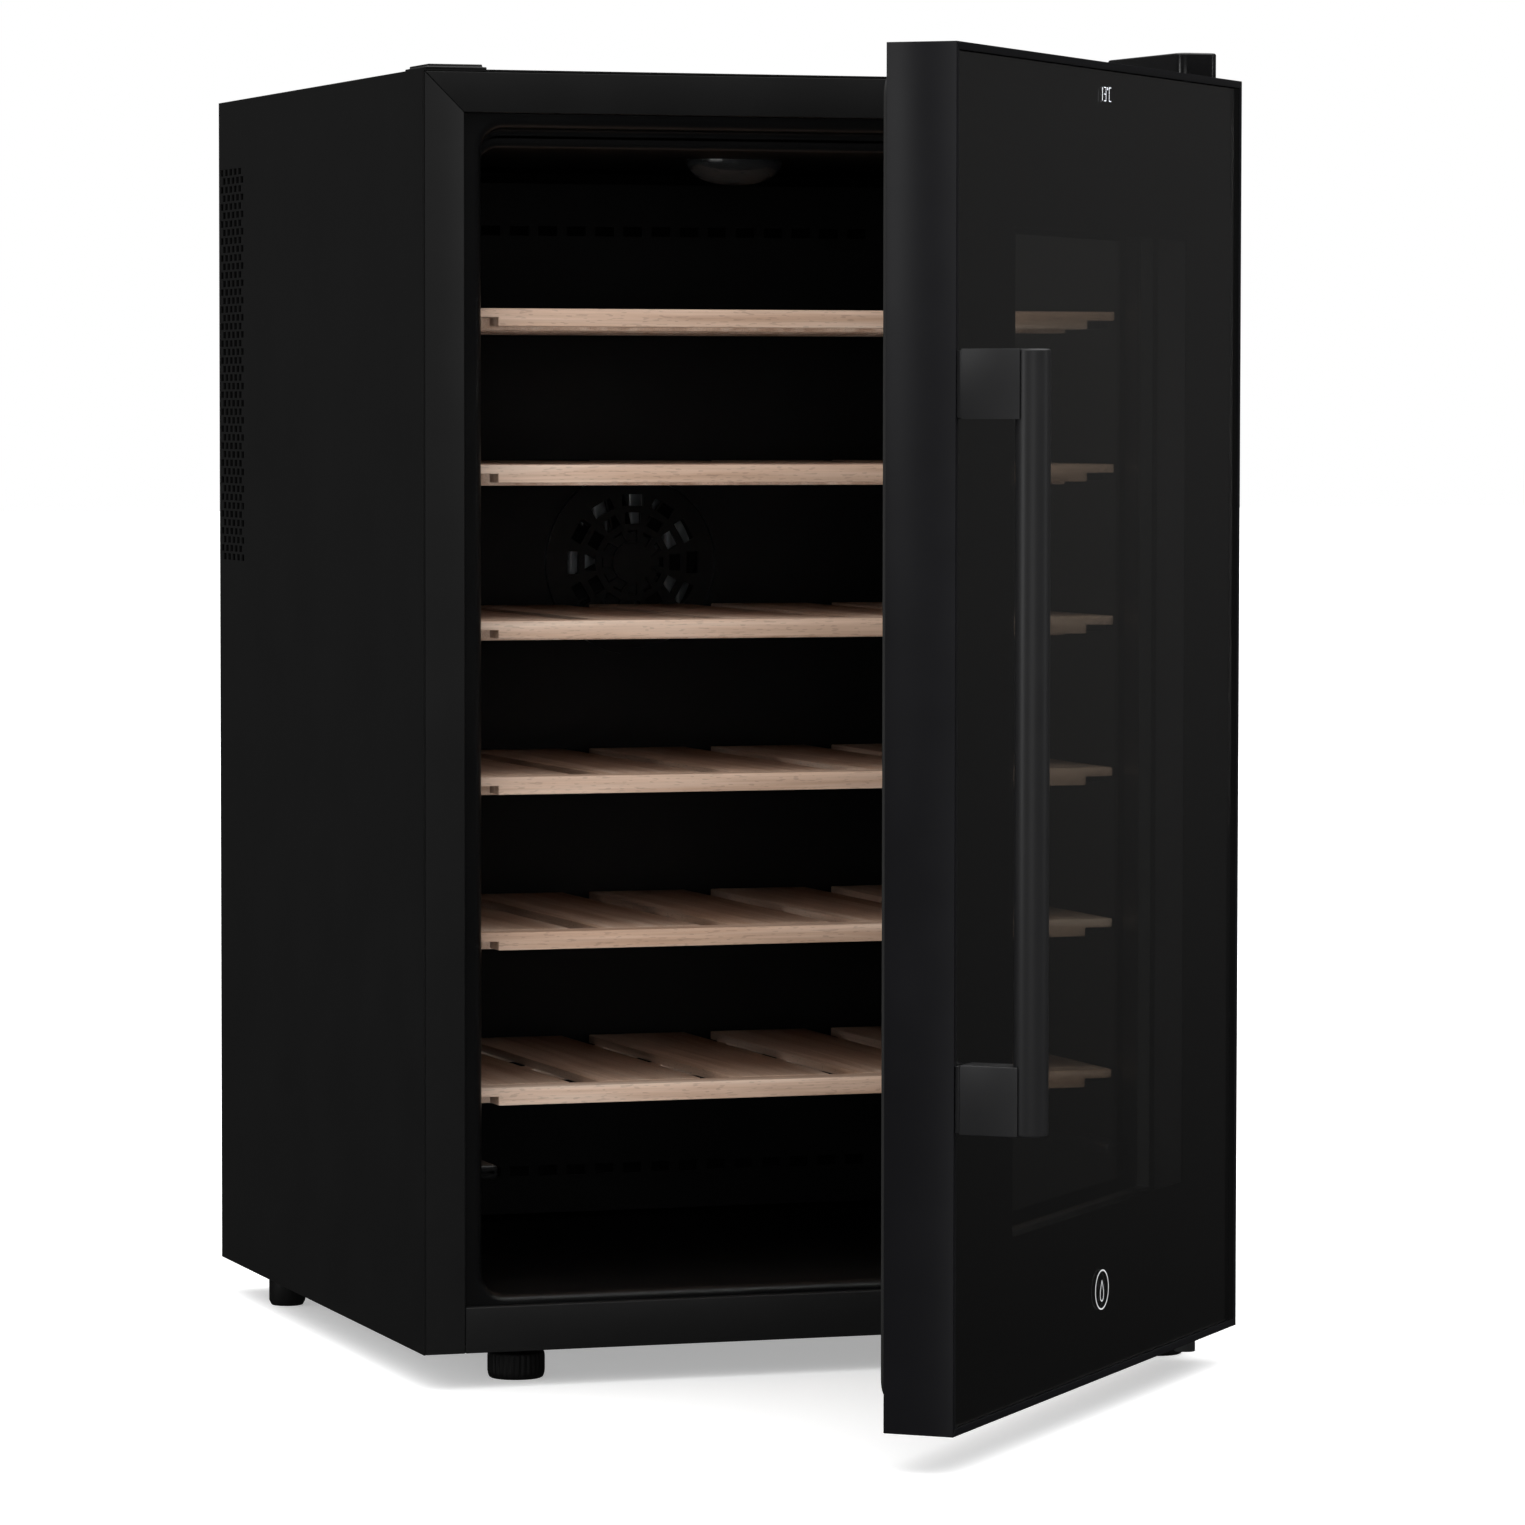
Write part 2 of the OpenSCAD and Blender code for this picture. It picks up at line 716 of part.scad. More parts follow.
module door_stile_free() {
    color(plastic_black) door() difference() {
        door_bar_free();
        low_wedge(-mitre_gap);
        flip_z() low_wedge(-mitre_gap);
        handle_screw_places() rod_y(0, 0, screw_r + 0.5, door_y0 - 1, door_y1 - web - 1);
    }
}

module door_stile_hinge() {
    color(plastic_black) door() difference() {
        mirror([1, 0, 0]) door_bar_free();
        low_wedge(-mitre_gap);
        flip_z() low_wedge(-mitre_gap);
        bush_seat();
    }
}

module door_rail_bottom() {
    color(plastic_black) door() difference() {
        intersection() {
            door_bar_low();
            low_wedge(mitre_gap);
        }
        bush_seat();
    }
}

module door_rail_top() {
    color(plastic_black) door() difference() {
        flip_z() intersection() {
            door_bar_low();
            low_wedge(mitre_gap);
        }
        bush_seat();
        // pocket for the display
        box([-display_half, ledge_y - 1, door_z1 - profile_w - 1],
            [display_half, ledge_y + 8, door_z1 - 9]);
    }
}

module glass_outer() {
    g = lip_w + pane_gap;
    color([0.05, 0.05, 0.06, 0.4]) door() difference() {
        box([-half_w + g, glass_y, door_z0 + g], [half_w - g - hinge_groove, print_y, door_z1 - g]);
        handle_screw_places() rod_y(0, 0, screw_r + 0.5, door_y0 - 1, door_y1 - web - 1);
    }
}

module glass_border() {
    g = lip_w + pane_gap;
    color([0.02, 0.02, 0.02]) door() difference() {
        box([-half_w + g, print_y, door_z0 + g], [half_w - g - hinge_groove, ledge_y, door_z1 - g]);
        box([-win_x, print_y - 1, win_z0], [win_x, ledge_y + 1, win_z1]);
        handle_screw_places() rod_y(0, 0, screw_r + 0.5, door_y0 - 1, door_y1 - web - 1);
    }
}

// a rectangular ring around the window, out from a to b
module window_ring(a, b, y0, y1) {
    difference() {
        box([-win_x - b, y0, win_z0 - b], [win_x + b, y1, win_z1 + b]);
        box([-win_x - a, y0 - 1, win_z0 - a], [win_x + a, y1 + 1, win_z1 + a]);
    }
}

module glass_spacer() {
    color(steel_black) door() window_ring(spacer_in, spacer_in + spacer_w, ledge_y, inner_glass_y);
}

module glass_inner() {
    over = 22;
    color([0.6, 0.65, 0.65, 0.3]) door()
        box([-win_x - over, inner_glass_y, win_z0 - over],
            [win_x + over, inner_glass_y + glass_t, win_z1 + over]);
}

module door_inner_frame() {
    out = border - profile_w - 0.2;
    y0 = inner_glass_y + glass_t;
    color(plastic_black) door() {
        window_ring(4, out, y0, y0 + 2);
        window_ring(4, 7, y0, door_y1 - 2);
        window_ring(4, out, door_y1 - 4, door_y1 - 2);
        // walls that carry the ring back to the outer frame
        window_ring(out - 2, out, ledge_y + web, door_y1 - 2);
    }
}

module gasket() {
    a = border - gasket_in - gasket_w;
    color([0.05, 0.05, 0.05]) door() {
        window_ring(a, a + gasket_w, door_y1, door_y1 + 2.2);
        window_ring(a + 1.5, a + gasket_w - 1.5, door_y1 + 2, door_y1 + gasket_h);
    }
}

// numeric display: module in the rail's pocket, circuit board behind it
module display_board() {
    z = door_z1 - 15.5;
    color([0.05, 0.05, 0.05]) door() {
        box([-30, ledge_y + 3, z - 5.8], [30, ledge_y + 4.6, z + 5.8]);
        box([-14, ledge_y, z - 5], [14, ledge_y + 3.5, z + 5]);
    }
}

module hinge_bushes() {
    color([0.85, 0.85, 0.82]) door()
        for (z = [door_z0, door_z1 - bush_z])
            translate([pin_x, pin_y, z]) difference() {
                cylinder(r = bush_r - 0.1, h = bush_z);
                translate([0, 0, z > body_h / 2 ? 1.5 : -1]) cylinder(r = pin_r + play, h = bush_z - 0.5);
            }
}

module handle_screw_places() {
    mid = z0 + body_h / 2;
    for (s = [-1, 1])
        translate([handle_x, 0, mid + s * (bar_len - bracket_h) / 2]) children();
}

module handle_bar() {
    color([0.14, 0.14, 0.145]) door()
        translate([handle_x, door_y0 - handle_out, z0 + body_h / 2 - bar_len / 2]) {
            cylinder(r1 = bar_d / 2 - 0.8, r2 = bar_d / 2, h = 0.8);
            translate([0, 0, 0.8]) cylinder(r = bar_d / 2, h = bar_len - 1.6);
            translate([0, 0, bar_len - 0.8]) cylinder(r1 = bar_d / 2, r2 = bar_d / 2 - 0.8, h = 0.8);
        }
}

module handle_bracket(s) {
    mid = z0 + body_h / 2 + s * (bar_len - bracket_h) / 2;
    x0 = handle_x - bracket_w / 2;
    color([0.16, 0.16, 0.165]) door() difference() {
        union() {
            box([x0, door_y0 - bracket_out, mid - bracket_h / 2],
                [x0 + bracket_w, door_y0 - 2.5, mid + bracket_h / 2]);
            box([x0 + 0.6, door_y0 - 3, mid - bracket_h / 2 + 0.6],
                [x0 + bracket_w - 0.6, door_y0, mid + bracket_h / 2 - 0.6]);
        }
        translate([handle_x, door_y0 - handle_out, mid - bracket_h])
            cylinder(r = bar_d / 2, h = 2 * bracket_h);
        translate([0, 0, mid]) rod_y(handle_x, 0, screw_r + play, door_y0 - 20, door_y0 + 1);
    }
}
module handle_bracket_upper() { handle_bracket(1); }
module handle_bracket_lower() { handle_bracket(-1); }

module handle_screws() {
    color(alu) door() handle_screw_places() {
        rod_y(0, 0, screw_r, door_y0 - 19, ledge_y + web + 0.5);
        rod_y(0, 0, screw_head_r, ledge_y + web, ledge_y + web + 3);
    }
}

/* ---- shelves, counted from the top ---- */

function shelf_top(n) = z0 + shelf_low + (6 - n) * shelf_pitch;

module shelf_front(n) {
    z = shelf_top(n);
    color(beech) cab() difference() {
        box([-shelf_half, shelf_y, z - rail_h], [shelf_half, shelf_y + rail_y, z]);
        for (s = [-1, 1])
            translate([s * shelf_half, shelf_y - 1, z - rail_h - 1])
                translate([-notch_w, 0, 0]) cube([2 * notch_w, rail_y + 2, rail_h + 1 - slat_t]);
    }
}

module shelf_deck(n) {
    z = shelf_top(n);
    first = 1.5 * bottle_pitch + slat_gap / 2;
    inner = bottle_pitch - slat_gap;
    color(beech) cab() {
        for (i = [-1, 0, 1])
            translate([i * bottle_pitch - inner / 2, deck_y0, z - slat_t])
                cube([inner, deck_y1 - deck_y0, slat_t]);
        for (s = [0, 1])
            mirror([s, 0, 0]) translate([first, deck_y0, z - slat_t])
                cube([shelf_half - first, deck_y1 - deck_y0, slat_t]);
        for (y = [deck_y0 + 14, (deck_y0 + deck_y1 - batten_w) / 2, deck_y1 - batten_w - 14])
            box([-shelf_half + notch_w, y, z - slat_t - batten_h],
                [shelf_half - notch_w, y + batten_w, z - slat_t]);
        // two tongues that tie the deck to the front rail
        for (s = [-1, 1])
            translate([s * bottle_pitch - rail_tongue_w / 2, shelf_y + rail_y, z - rail_h])
                cube([rail_tongue_w, deck_gap + 20, rail_h - slat_t]);
    }
}

module shelf_1_front() { shelf_front(1); }
module shelf_1_deck() { shelf_deck(1); }
module shelf_2_front() { shelf_front(2); }
module shelf_2_deck() { shelf_deck(2); }
module shelf_3_front() { shelf_front(3); }
module shelf_3_deck() { shelf_deck(3); }
module shelf_4_front() { shelf_front(4); }
module shelf_4_deck() { shelf_deck(4); }
module shelf_5_front() { shelf_front(5); }
module shelf_5_deck() { shelf_deck(5); }
module shelf_6_front() { shelf_front(6); }
module shelf_6_deck() { shelf_deck(6); }

side_panel_left();
side_panel_right();
top_panel();
base_plate();
rear_cover();
frame_stile_left();
frame_stile_right();
frame_rail_top();
frame_rail_bottom();
liner();
foam();
inner_back_cover();
cold_sink();
cold_fan_frame();
cold_fan_rotor();
heat_pump();
hot_sink();
hot_fan_frame();
hot_fan_rotor();
power_board();
inlet_socket();
lamp_lens();
lamp_board();
hinge_plate_top();
hinge_plate_bottom();
hinge_cover();
hinge_cap_left();
hinge_screws();
foot_front_left();
foot_front_right();
feet_rear();
door_stile_free();
door_stile_hinge();
door_rail_top();
door_rail_bottom();
glass_outer();
glass_border();
glass_inner();
glass_spacer();
door_inner_frame();
gasket();
display_board();
hinge_bushes();
handle_bar();
handle_bracket_upper();
handle_bracket_lower();
handle_screws();
shelf_1_front();
shelf_1_deck();
shelf_2_front();
shelf_2_deck();
shelf_3_front();
shelf_3_deck();
shelf_4_front();
shelf_4_deck();
shelf_5_front();
shelf_5_deck();
shelf_6_front();
shelf_6_deck();
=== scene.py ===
# %% [markdown]
# # A bottle cooler, dressed over its engineering model
# The cabinet, door, shelves and cold unit come from a solid model whose sizes are fixed. This notebook
# loads that model, gives each part the finish of its real counterpart, and replaces the parts whose
# look depends on soft curves: the moulded liner, the door seal, the handle's bar and the feet.

# %% Load the model
import json
import math
import bmesh
import bpy
import numpy as np
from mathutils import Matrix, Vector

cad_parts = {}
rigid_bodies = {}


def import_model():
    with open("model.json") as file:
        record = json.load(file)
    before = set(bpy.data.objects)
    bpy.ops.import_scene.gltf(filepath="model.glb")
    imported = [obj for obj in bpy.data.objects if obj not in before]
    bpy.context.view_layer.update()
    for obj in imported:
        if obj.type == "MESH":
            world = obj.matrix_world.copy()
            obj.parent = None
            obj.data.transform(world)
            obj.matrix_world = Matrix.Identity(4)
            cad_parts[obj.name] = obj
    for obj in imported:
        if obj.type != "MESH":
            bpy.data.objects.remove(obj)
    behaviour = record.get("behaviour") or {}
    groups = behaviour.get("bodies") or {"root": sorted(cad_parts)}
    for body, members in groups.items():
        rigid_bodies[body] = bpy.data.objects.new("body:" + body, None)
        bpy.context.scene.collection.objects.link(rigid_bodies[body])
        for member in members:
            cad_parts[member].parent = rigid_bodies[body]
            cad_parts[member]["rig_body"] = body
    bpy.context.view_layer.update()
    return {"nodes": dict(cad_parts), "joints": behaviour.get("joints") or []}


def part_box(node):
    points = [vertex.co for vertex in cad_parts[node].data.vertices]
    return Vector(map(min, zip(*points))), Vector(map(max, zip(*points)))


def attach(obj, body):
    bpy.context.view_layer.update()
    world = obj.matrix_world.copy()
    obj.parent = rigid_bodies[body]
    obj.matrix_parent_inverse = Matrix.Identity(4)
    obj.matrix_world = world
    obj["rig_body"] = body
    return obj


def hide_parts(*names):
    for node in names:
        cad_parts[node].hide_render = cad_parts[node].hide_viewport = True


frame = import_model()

# %% [markdown]
# ## One measuring frame
# A workshop drawing of a cabinet starts at its own centre line and front face, so the pieces below are
# drawn that way, in millimetres. Two boxes and one joint of the loaded model say where that is. The
# door is drawn closed, which keeps its numbers simple, and is then swung about its pivot.

# %% Cabinet and door coordinates
MM = 0.001
panel_low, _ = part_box("side_panel_left")
_, panel_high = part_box("side_panel_right")
front_face_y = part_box("frame_rail_top")[0].y / MM
ORIGIN = np.array([(panel_low.x + panel_high.x) / 2 / MM, front_face_y, 0.0])
hinge = next(j for j in frame["joints"] if j["name"] == "door_hinge")
AJAR = math.radians(-hinge["range_deg"][0])
PIVOT = np.array(hinge["pos_m"][:2]) / MM - ORIGIN[:2]


def on_cabinet(points):
    """Cabinet millimetres to metres in the model's frame: add the origin, then scale."""
    return (np.asarray(points, float) + ORIGIN) * MM


def on_door(points):
    """Closed-door millimetres to metres with the door ajar: each point turns about the pivot first."""
    p = np.array(points, float)
    dx, dy = p[..., 0] - PIVOT[0], p[..., 1] - PIVOT[1]
    p[..., 0] = PIVOT[0] + dx * math.cos(AJAR) - dy * math.sin(AJAR)
    p[..., 1] = PIVOT[1] + dx * math.sin(AJAR) + dy * math.cos(AJAR)
    return on_cabinet(p)


print("cabinet origin (mm):", ORIGIN.round(2), "pivot:", PIVOT.round(2))
print("door ajar (degrees):", round(math.degrees(AJAR), 1))

# %% [markdown]
# ## Building meshes from arrays
# Every new piece is a set of rings: closed loops of points, one after another, with a skin between
# neighbours. A lathe turning, a seal and a moulded tub are all made this way. Whole arrays are worked
# out at once, and the sign of the enclosed volume tells whether the faces point outwards.

# %% Rings, skins and pieces
def skin(rings, closed=False):
    """Quads between neighbouring rings of an (n, m, 3) array; closed joins the last ring to the first.
    Otherwise each end is closed by a fan of triangles round the middle of its ring."""
    n, m, _ = rings.shape
    index = np.arange(n * m).reshape(n, m)
    if closed:
        index = np.vstack([index, index[:1]])
    a, b = index[:-1], index[1:]
    quads = np.stack([a, np.roll(a, -1, 1), np.roll(b, -1, 1), b], -1).reshape(-1, 4)
    points, faces = rings.reshape(-1, 3), quads.tolist()
    if not closed:
        centres = np.stack([rings[0].mean(0), rings[-1].mean(0)])
        points = np.vstack([points, centres])
        first, last = index[0], index[-1]
        faces += np.stack([np.roll(first, -1), first, np.full(m, n * m)], -1).tolist()
        faces += np.stack([last, np.roll(last, -1), np.full(m, n * m + 1)], -1).tolist()
    return points, faces


def joined(parts):
    """Several (points, faces) pairs as one: the faces' numbers move on by the points before them."""
    points, faces, start = [], [], 0
    for p, f in parts:
        points.append(p)
        faces += [[i + start for i in face] for face in f]
        start += len(p)
    return np.vstack(points), faces


def enclosed(points, faces):
    """Six times the volume inside: for each face's fan of triangles, a . (b x c), added up."""
    fans = [(f[0], f[i], f[i + 1]) for f in faces for i in range(1, len(f) - 1)]
    a, b, c = (points[np.array(fans)[:, i]] for i in range(3))
    return float((a * np.cross(b, c)).sum())


def piece(name, points, faces, material, body, replaces=(), smooth=40):
    """A mesh object at the origin that rides on a body. Edges sharper than smooth degrees stay crisp."""
    if enclosed(points, faces) < 0:
        faces = [f[::-1] for f in faces]
    mesh = bpy.data.meshes.new(name)
    mesh.from_pydata(points.tolist(), [], faces)
    mesh.update()
    mesh.shade_smooth()
    mesh.set_sharp_from_angle(angle=math.radians(smooth))
    obj = bpy.data.objects.new(name, mesh)
    bpy.context.scene.collection.objects.link(obj)
    mesh.materials.append(material)
    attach(obj, body)
    if replaces:
        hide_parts(*replaces)
    print(f"{name}: {len(points)} points")
    return obj


# %% [markdown]
# Sheet metal, sawn wood and pressings never have perfectly sharp edges, and the thin bright line on an
# eased edge is what makes them look real. A part's mesh is copied, its loose triangles are merged into
# whole flat faces, and a Bevel modifier rounds every edge.

# %% Parts with eased edges
def eased(node, radius, material, segments=2, angle=35):
    """A copy of one part with its edges rounded by a radius in millimetres. It stands in for the part."""
    source = frame["nodes"][node]
    mesh = source.data.copy()
    mesh.name = node + "_eased"
    work = bmesh.new()
    work.from_mesh(mesh)
    bmesh.ops.remove_doubles(work, verts=work.verts, dist=2e-6)
    bmesh.ops.dissolve_limit(work, angle_limit=math.radians(0.6), verts=work.verts, edges=work.edges)
    work.to_mesh(mesh)
    work.free()
    mesh.materials.clear()
    mesh.materials.append(material)
    mesh.shade_smooth()
    obj = bpy.data.objects.new(node + "_eased", mesh)
    bpy.context.scene.collection.objects.link(obj)
    bevel = obj.modifiers.new("eased edges", "BEVEL")
    bevel.width = radius * MM
    bevel.segments = segments
    bevel.limit_method = "ANGLE"
    bevel.angle_limit = math.radians(angle)
    bevel.use_clamp_overlap = True
    bevel.harden_normals = True
    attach(obj, source["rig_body"])
    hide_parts(node)
    print(f"{obj.name}: edges {radius} mm, {material.name}")
    return obj


# %% [markdown]
# ## Finishes
# Each material below starts from the real one: what it is, how its surface was made, and what that
# gives the eye. Colours are written as the hex values that a screen shows, and one function turns
# them into the linear numbers that the renderer adds up.

# %% Colour and node helpers
def linear(hex_colour, alpha=1.0):
    """#rrggbb to linear: each channel c becomes c / 12.92 when dark, else ((c + 0.055) / 1.055) ** 2.4."""
    c = np.array([int(hex_colour[i:i + 2], 16) for i in (1, 3, 5)]) / 255
    c = np.where(c <= 0.04045, c / 12.92, ((c + 0.055) / 1.055) ** 2.4)
    return (*c.tolist(), alpha)


def add(tree, kind, settings=None, links=None):
    """Adds one node. A setting names an input socket or else one of the node's own properties."""
    node = tree.nodes.new(kind)
    for key, value in (settings or {}).items():
        if isinstance(key, int) or key in node.inputs:
            node.inputs[key].default_value = value
        else:
            setattr(node, key, value)
    for key, source in (links or {}).items():
        tree.links.new(source, node.inputs[key])
    return node


def finish(name, colour, rough, **settings):
    """A named material with one Principled shader. Returns the material, its tree and that shader."""
    material = bpy.data.materials.new(name)
    material.use_nodes = True
    material.node_tree.nodes.clear()
    tree = material.node_tree
    values = {"Base Color": linear(colour), "Roughness": rough}
    values.update({key.replace("_", " "): value for key, value in settings.items()})
    shader = add(tree, "ShaderNodeBsdfPrincipled", values)
    add(tree, "ShaderNodeOutputMaterial", links={"Surface": shader.outputs[0]})
    print("finish:", name)
    return material, tree, shader


def per_mm(size):
    """Noise scale, in cycles per metre, whose features are about size millimetres across."""
    return 1000.0 / size


SLOW = 30


def grain(tree, shader, size, height, detail=3.0, stretch=(1, 1, 1), tone=None, rough=None):
    """Surface grain: noise about size mm across, height mm deep as bump. tone and rough, when given, are
    two colours and two roughness values. A slower noise, SLOW times as wide, moves between them."""
    where = add(tree, "ShaderNodeTexCoord")
    place = add(tree, "ShaderNodeMapping", {"Scale": stretch}, {"Vector": where.outputs["Object"]})
    noise = add(tree, "ShaderNodeTexNoise", {"Scale": per_mm(size), "Detail": detail, "Roughness": 0.55},
                {"Vector": place.outputs[0]})
    bump = add(tree, "ShaderNodeBump", {"Strength": 1.0, "Distance": height * MM},
               {"Height": noise.outputs["Fac"]})
    tree.links.new(bump.outputs[0], shader.inputs["Normal"])
    slow = add(tree, "ShaderNodeTexNoise", {"Scale": per_mm(size * SLOW), "Detail": 4.0},
               {"Vector": where.outputs["Object"]})
    if tone:
        mix = add(tree, "ShaderNodeMix", {"data_type": "RGBA", 6: linear(tone[0]), 7: linear(tone[1])},
                  {0: slow.outputs["Fac"]})
        tree.links.new(mix.outputs[2], shader.inputs["Base Color"])
    if rough:
        spread = add(tree, "ShaderNodeMapRange", {"To Min": rough[0], "To Max": rough[1]},
                     {"Value": slow.outputs["Fac"]})
        tree.links.new(spread.outputs[0], shader.inputs["Roughness"])


print("pure mid grey in linear:", round(linear("#808080")[0], 3))

# %% [markdown]
# ### Black coats
# The outer sheets are cold-rolled steel with an epoxy-polyester powder coat. Powder melts into a skin
# with a faint orange peel, about 1 to 2 mm from crest to crest, which breaks up reflections without
# hiding them. The frame and the door are finer, wet-painted sections, so their peel is weaker. Each
# coat is one shader, with a noise for the peel and a slower one for small changes of tone.

# %% Painted steel and aluminium
coat_steel, tree, shader = finish("powder_coated_steel", "#0c0c0c", 0.46, Specular_IOR_Level=0.22)
grain(tree, shader, 1.8, 0.035, tone=("#0a0a0a", "#0e0e0e"), rough=(0.42, 0.52))
coat_frame, tree, shader = finish("painted_frame_steel", "#161616", 0.42, Specular_IOR_Level=0.28)
grain(tree, shader, 1.4, 0.015, tone=("#101010", "#151515"), rough=(0.40, 0.50))
coat_door, tree, shader = finish("painted_door_aluminium", "#0c0c0d", 0.34, Specular_IOR_Level=0.2)
grain(tree, shader, 1.2, 0.010, stretch=(1, 1, 0.08), tone=("#0b0b0d", "#0f0f12"), rough=(0.32, 0.42))
coat_handle, tree, shader = finish("satin_coated_handle", "#0d0d0e", 0.38, Specular_IOR_Level=0.4)
grain(tree, shader, 0.9, 0.012, tone=("#151516", "#19191a"), rough=(0.36, 0.46))

# %% [markdown]
# ### Mouldings
# The liner is one vacuum-formed sheet of black high-impact polystyrene. Forming stretches it, so its
# gloss is a little uneven. The small covers and feet are injection-moulded ABS with a spark-eroded
# grain, and the seal is soft PVC with a matt, slightly dusty skin. The glazing tape is a dull foam
# that soaks up light, and its near-black tone is also painted shade for the groove beside the pane.
# The bushes are nylon. The insulation is coloured near black: painted shade for the dark that is seen
# through the vents.

# %% Polystyrene, ABS, PVC, foams
liner_hips, tree, shader = finish("vacuum_formed_polystyrene", "#090909", 0.30, Specular_IOR_Level=0.3)
grain(tree, shader, 2.2, 0.02, tone=("#070708", "#0b0b0b"), rough=(0.26, 0.38))
moulded_abs, tree, shader = finish("spark_grained_abs", "#0a0a0a", 0.48, Specular_IOR_Level=0.3)
grain(tree, shader, 0.8, 0.03, tone=("#080808", "#0c0c0c"), rough=(0.42, 0.56))
hinge_abs, tree, shader = finish("polished_abs", "#0b0b0c", 0.20)
grain(tree, shader, 1.0, 0.004, rough=(0.16, 0.26))
seal_pvc, tree, shader = finish("soft_pvc_seal", "#121212", 0.62)
grain(tree, shader, 0.7, 0.02, tone=("#101010", "#171716"), rough=(0.56, 0.70))
# The glazing tape's near-black, matt finish is partly painted shade: it stands for the shadow in the groove
# beside the pane.
glazing_tape_painted_shade, tree, shader = finish("glazing_tape_as_painted_shade", "#060606", 0.9, Specular_IOR_Level=0.05)
grain(tree, shader, 0.9, 0.02)
nylon, tree, shader = finish("natural_nylon", "#d9d6c8", 0.45, Subsurface_Weight=0.1)
grain(tree, shader, 1.0, 0.008)
# The insulation is coloured near black: painted shade, so the foam seen through the side vents and rear slots
# reads as dark.
foam_painted_shade, tree, shader = finish("foam_near_black_painted_shade", "#101010", 0.9, Specular_IOR_Level=0.2)
grain(tree, shader, 1.6, 0.3, tone=("#0d0d0d", "#131313"))

# %% [markdown]
# ### Beech
# Shelves are planed beech, oiled or bare. Beech is pale pink-brown with soft growth bands, straight
# fibres, and many short dark flecks where the wood's rays are cut. Bands are 5 to 15 mm apart, fibres
# under half a millimetre, and flecks 2 to 4 mm long; the two fine patterns are drawn slightly coarse
# so that they still show. One function makes the wood for either direction of the grain.

# %% Wood with its grain along one axis
BAND, FIBRE, FLECK = (220, 9), (60, 0.9), (4.5, 0.8)


def beech(name, along):
    """Beech whose fibres run along axis 0 (X) or 1 (Y). Each noise is short across the fibres and long
    along them: BAND, FIBRE and FLECK hold those lengths and widths in millimetres."""
    material, tree, shader = finish(name, "#cbb29e", 0.52)
    where = add(tree, "ShaderNodeTexCoord").outputs["Object"]

    def stripes(length, width, detail=2.0, warp=0.0):
        scale = [per_mm(width)] * 3
        scale[along] = per_mm(length)
        place = add(tree, "ShaderNodeMapping", {"Scale": scale}, {"Vector": where})
        return add(tree, "ShaderNodeTexNoise", {"Scale": 1.0, "Detail": detail, "Distortion": warp},
                   {"Vector": place.outputs[0]}).outputs["Fac"]

    bands = add(tree, "ShaderNodeValToRGB", links={"Fac": stripes(*BAND, detail=3.0, warp=0.6)})
    ramp = bands.color_ramp.elements
    ramp[0].position, ramp[1].position = 0.30, 0.72
    ramp[0].color, ramp[1].color = linear("#b9977f"), linear("#dcc4b1")
    ramp.new(0.52).color = linear("#ceb09b")
    fibres = add(tree, "ShaderNodeMapRange",
                 {"From Min": 0.3, "From Max": 0.7, "To Min": 0.90, "To Max": 1.06},
                 {"Value": stripes(*FIBRE)})
    flecks = add(tree, "ShaderNodeMapRange",
                 {"From Min": 0.66, "From Max": 0.74, "To Min": 1.0, "To Max": 0.80},
                 {"Value": stripes(*FLECK, detail=0.0)})
    shade = add(tree, "ShaderNodeMath", {"operation": "MULTIPLY"},
                {0: fibres.outputs[0], 1: flecks.outputs[0]})
    colour = add(tree, "ShaderNodeVectorMath", {"operation": "SCALE"},
                 {0: bands.outputs["Color"], "Scale": shade.outputs[0]})
    tree.links.new(colour.outputs[0], shader.inputs["Base Color"])
    bump = add(tree, "ShaderNodeBump", {"Strength": 1.0, "Distance": 0.05 * MM}, {"Height": shade.outputs[0]})
    tree.links.new(bump.outputs[0], shader.inputs["Normal"])
    return material


beech_rail = beech("planed_beech_rail", 0)
beech_slat = beech("planed_beech_slat", 1)

# %% [markdown]
# ### Glass and print
# The door is a sealed double pane. The outer sheet is grey body-tinted, which also keeps light off
# the wine, and its back is screen-printed with black enamel all round the window. The inner sheet is
# clear, with the faint green of ordinary float glass. Glass reflects about 4 per cent at each face.
# The enamel touches the glass, so it has almost no shine of its own: hence its low specular level.

# %% Panes, print and light
tinted_glass, tree, shader = finish("grey_tinted_glass", "#dddbd8", 0.015, IOR=1.50, Transmission_Weight=1.0)
clear_glass, tree, shader = finish("clear_float_glass", "#eef3f1", 0.0, IOR=1.50, Transmission_Weight=1.0)
enamel, tree, shader = finish("screen_printed_enamel", "#060607", 0.45, Specular_IOR_Level=0.03)
grain(tree, shader, 1.2, 0.003)
lens_plastic, tree, shader = finish("smoked_polycarbonate", "#4a4c4e", 0.12, IOR=1.58,
                                    Transmission_Weight=0.8)
grain(tree, shader, 1.5, 0.02)
led_light, tree, shader = finish("white_led", "#f4f7ff", 0.4, Emission_Color=linear("#f4f7ff"),
                                 Emission_Strength=0.85)
# The mark is pale print; its emission is painted light, a faint glow that no lamp gives it.
mark_with_painted_glow, tree, shader = finish("pale_print_and_painted_glow", "#b9babb", 0.5, Emission_Color=linear("#8f9092"),
                                    Emission_Strength=0.35)

# %% [markdown]
# ### Metals and boards
# Hinges and screws are zinc-plated steel, the base is hot-dip galvanised, and the heat sinks are
# extruded aluminium with fine lines left by the die. The circuit boards have a green solder mask.

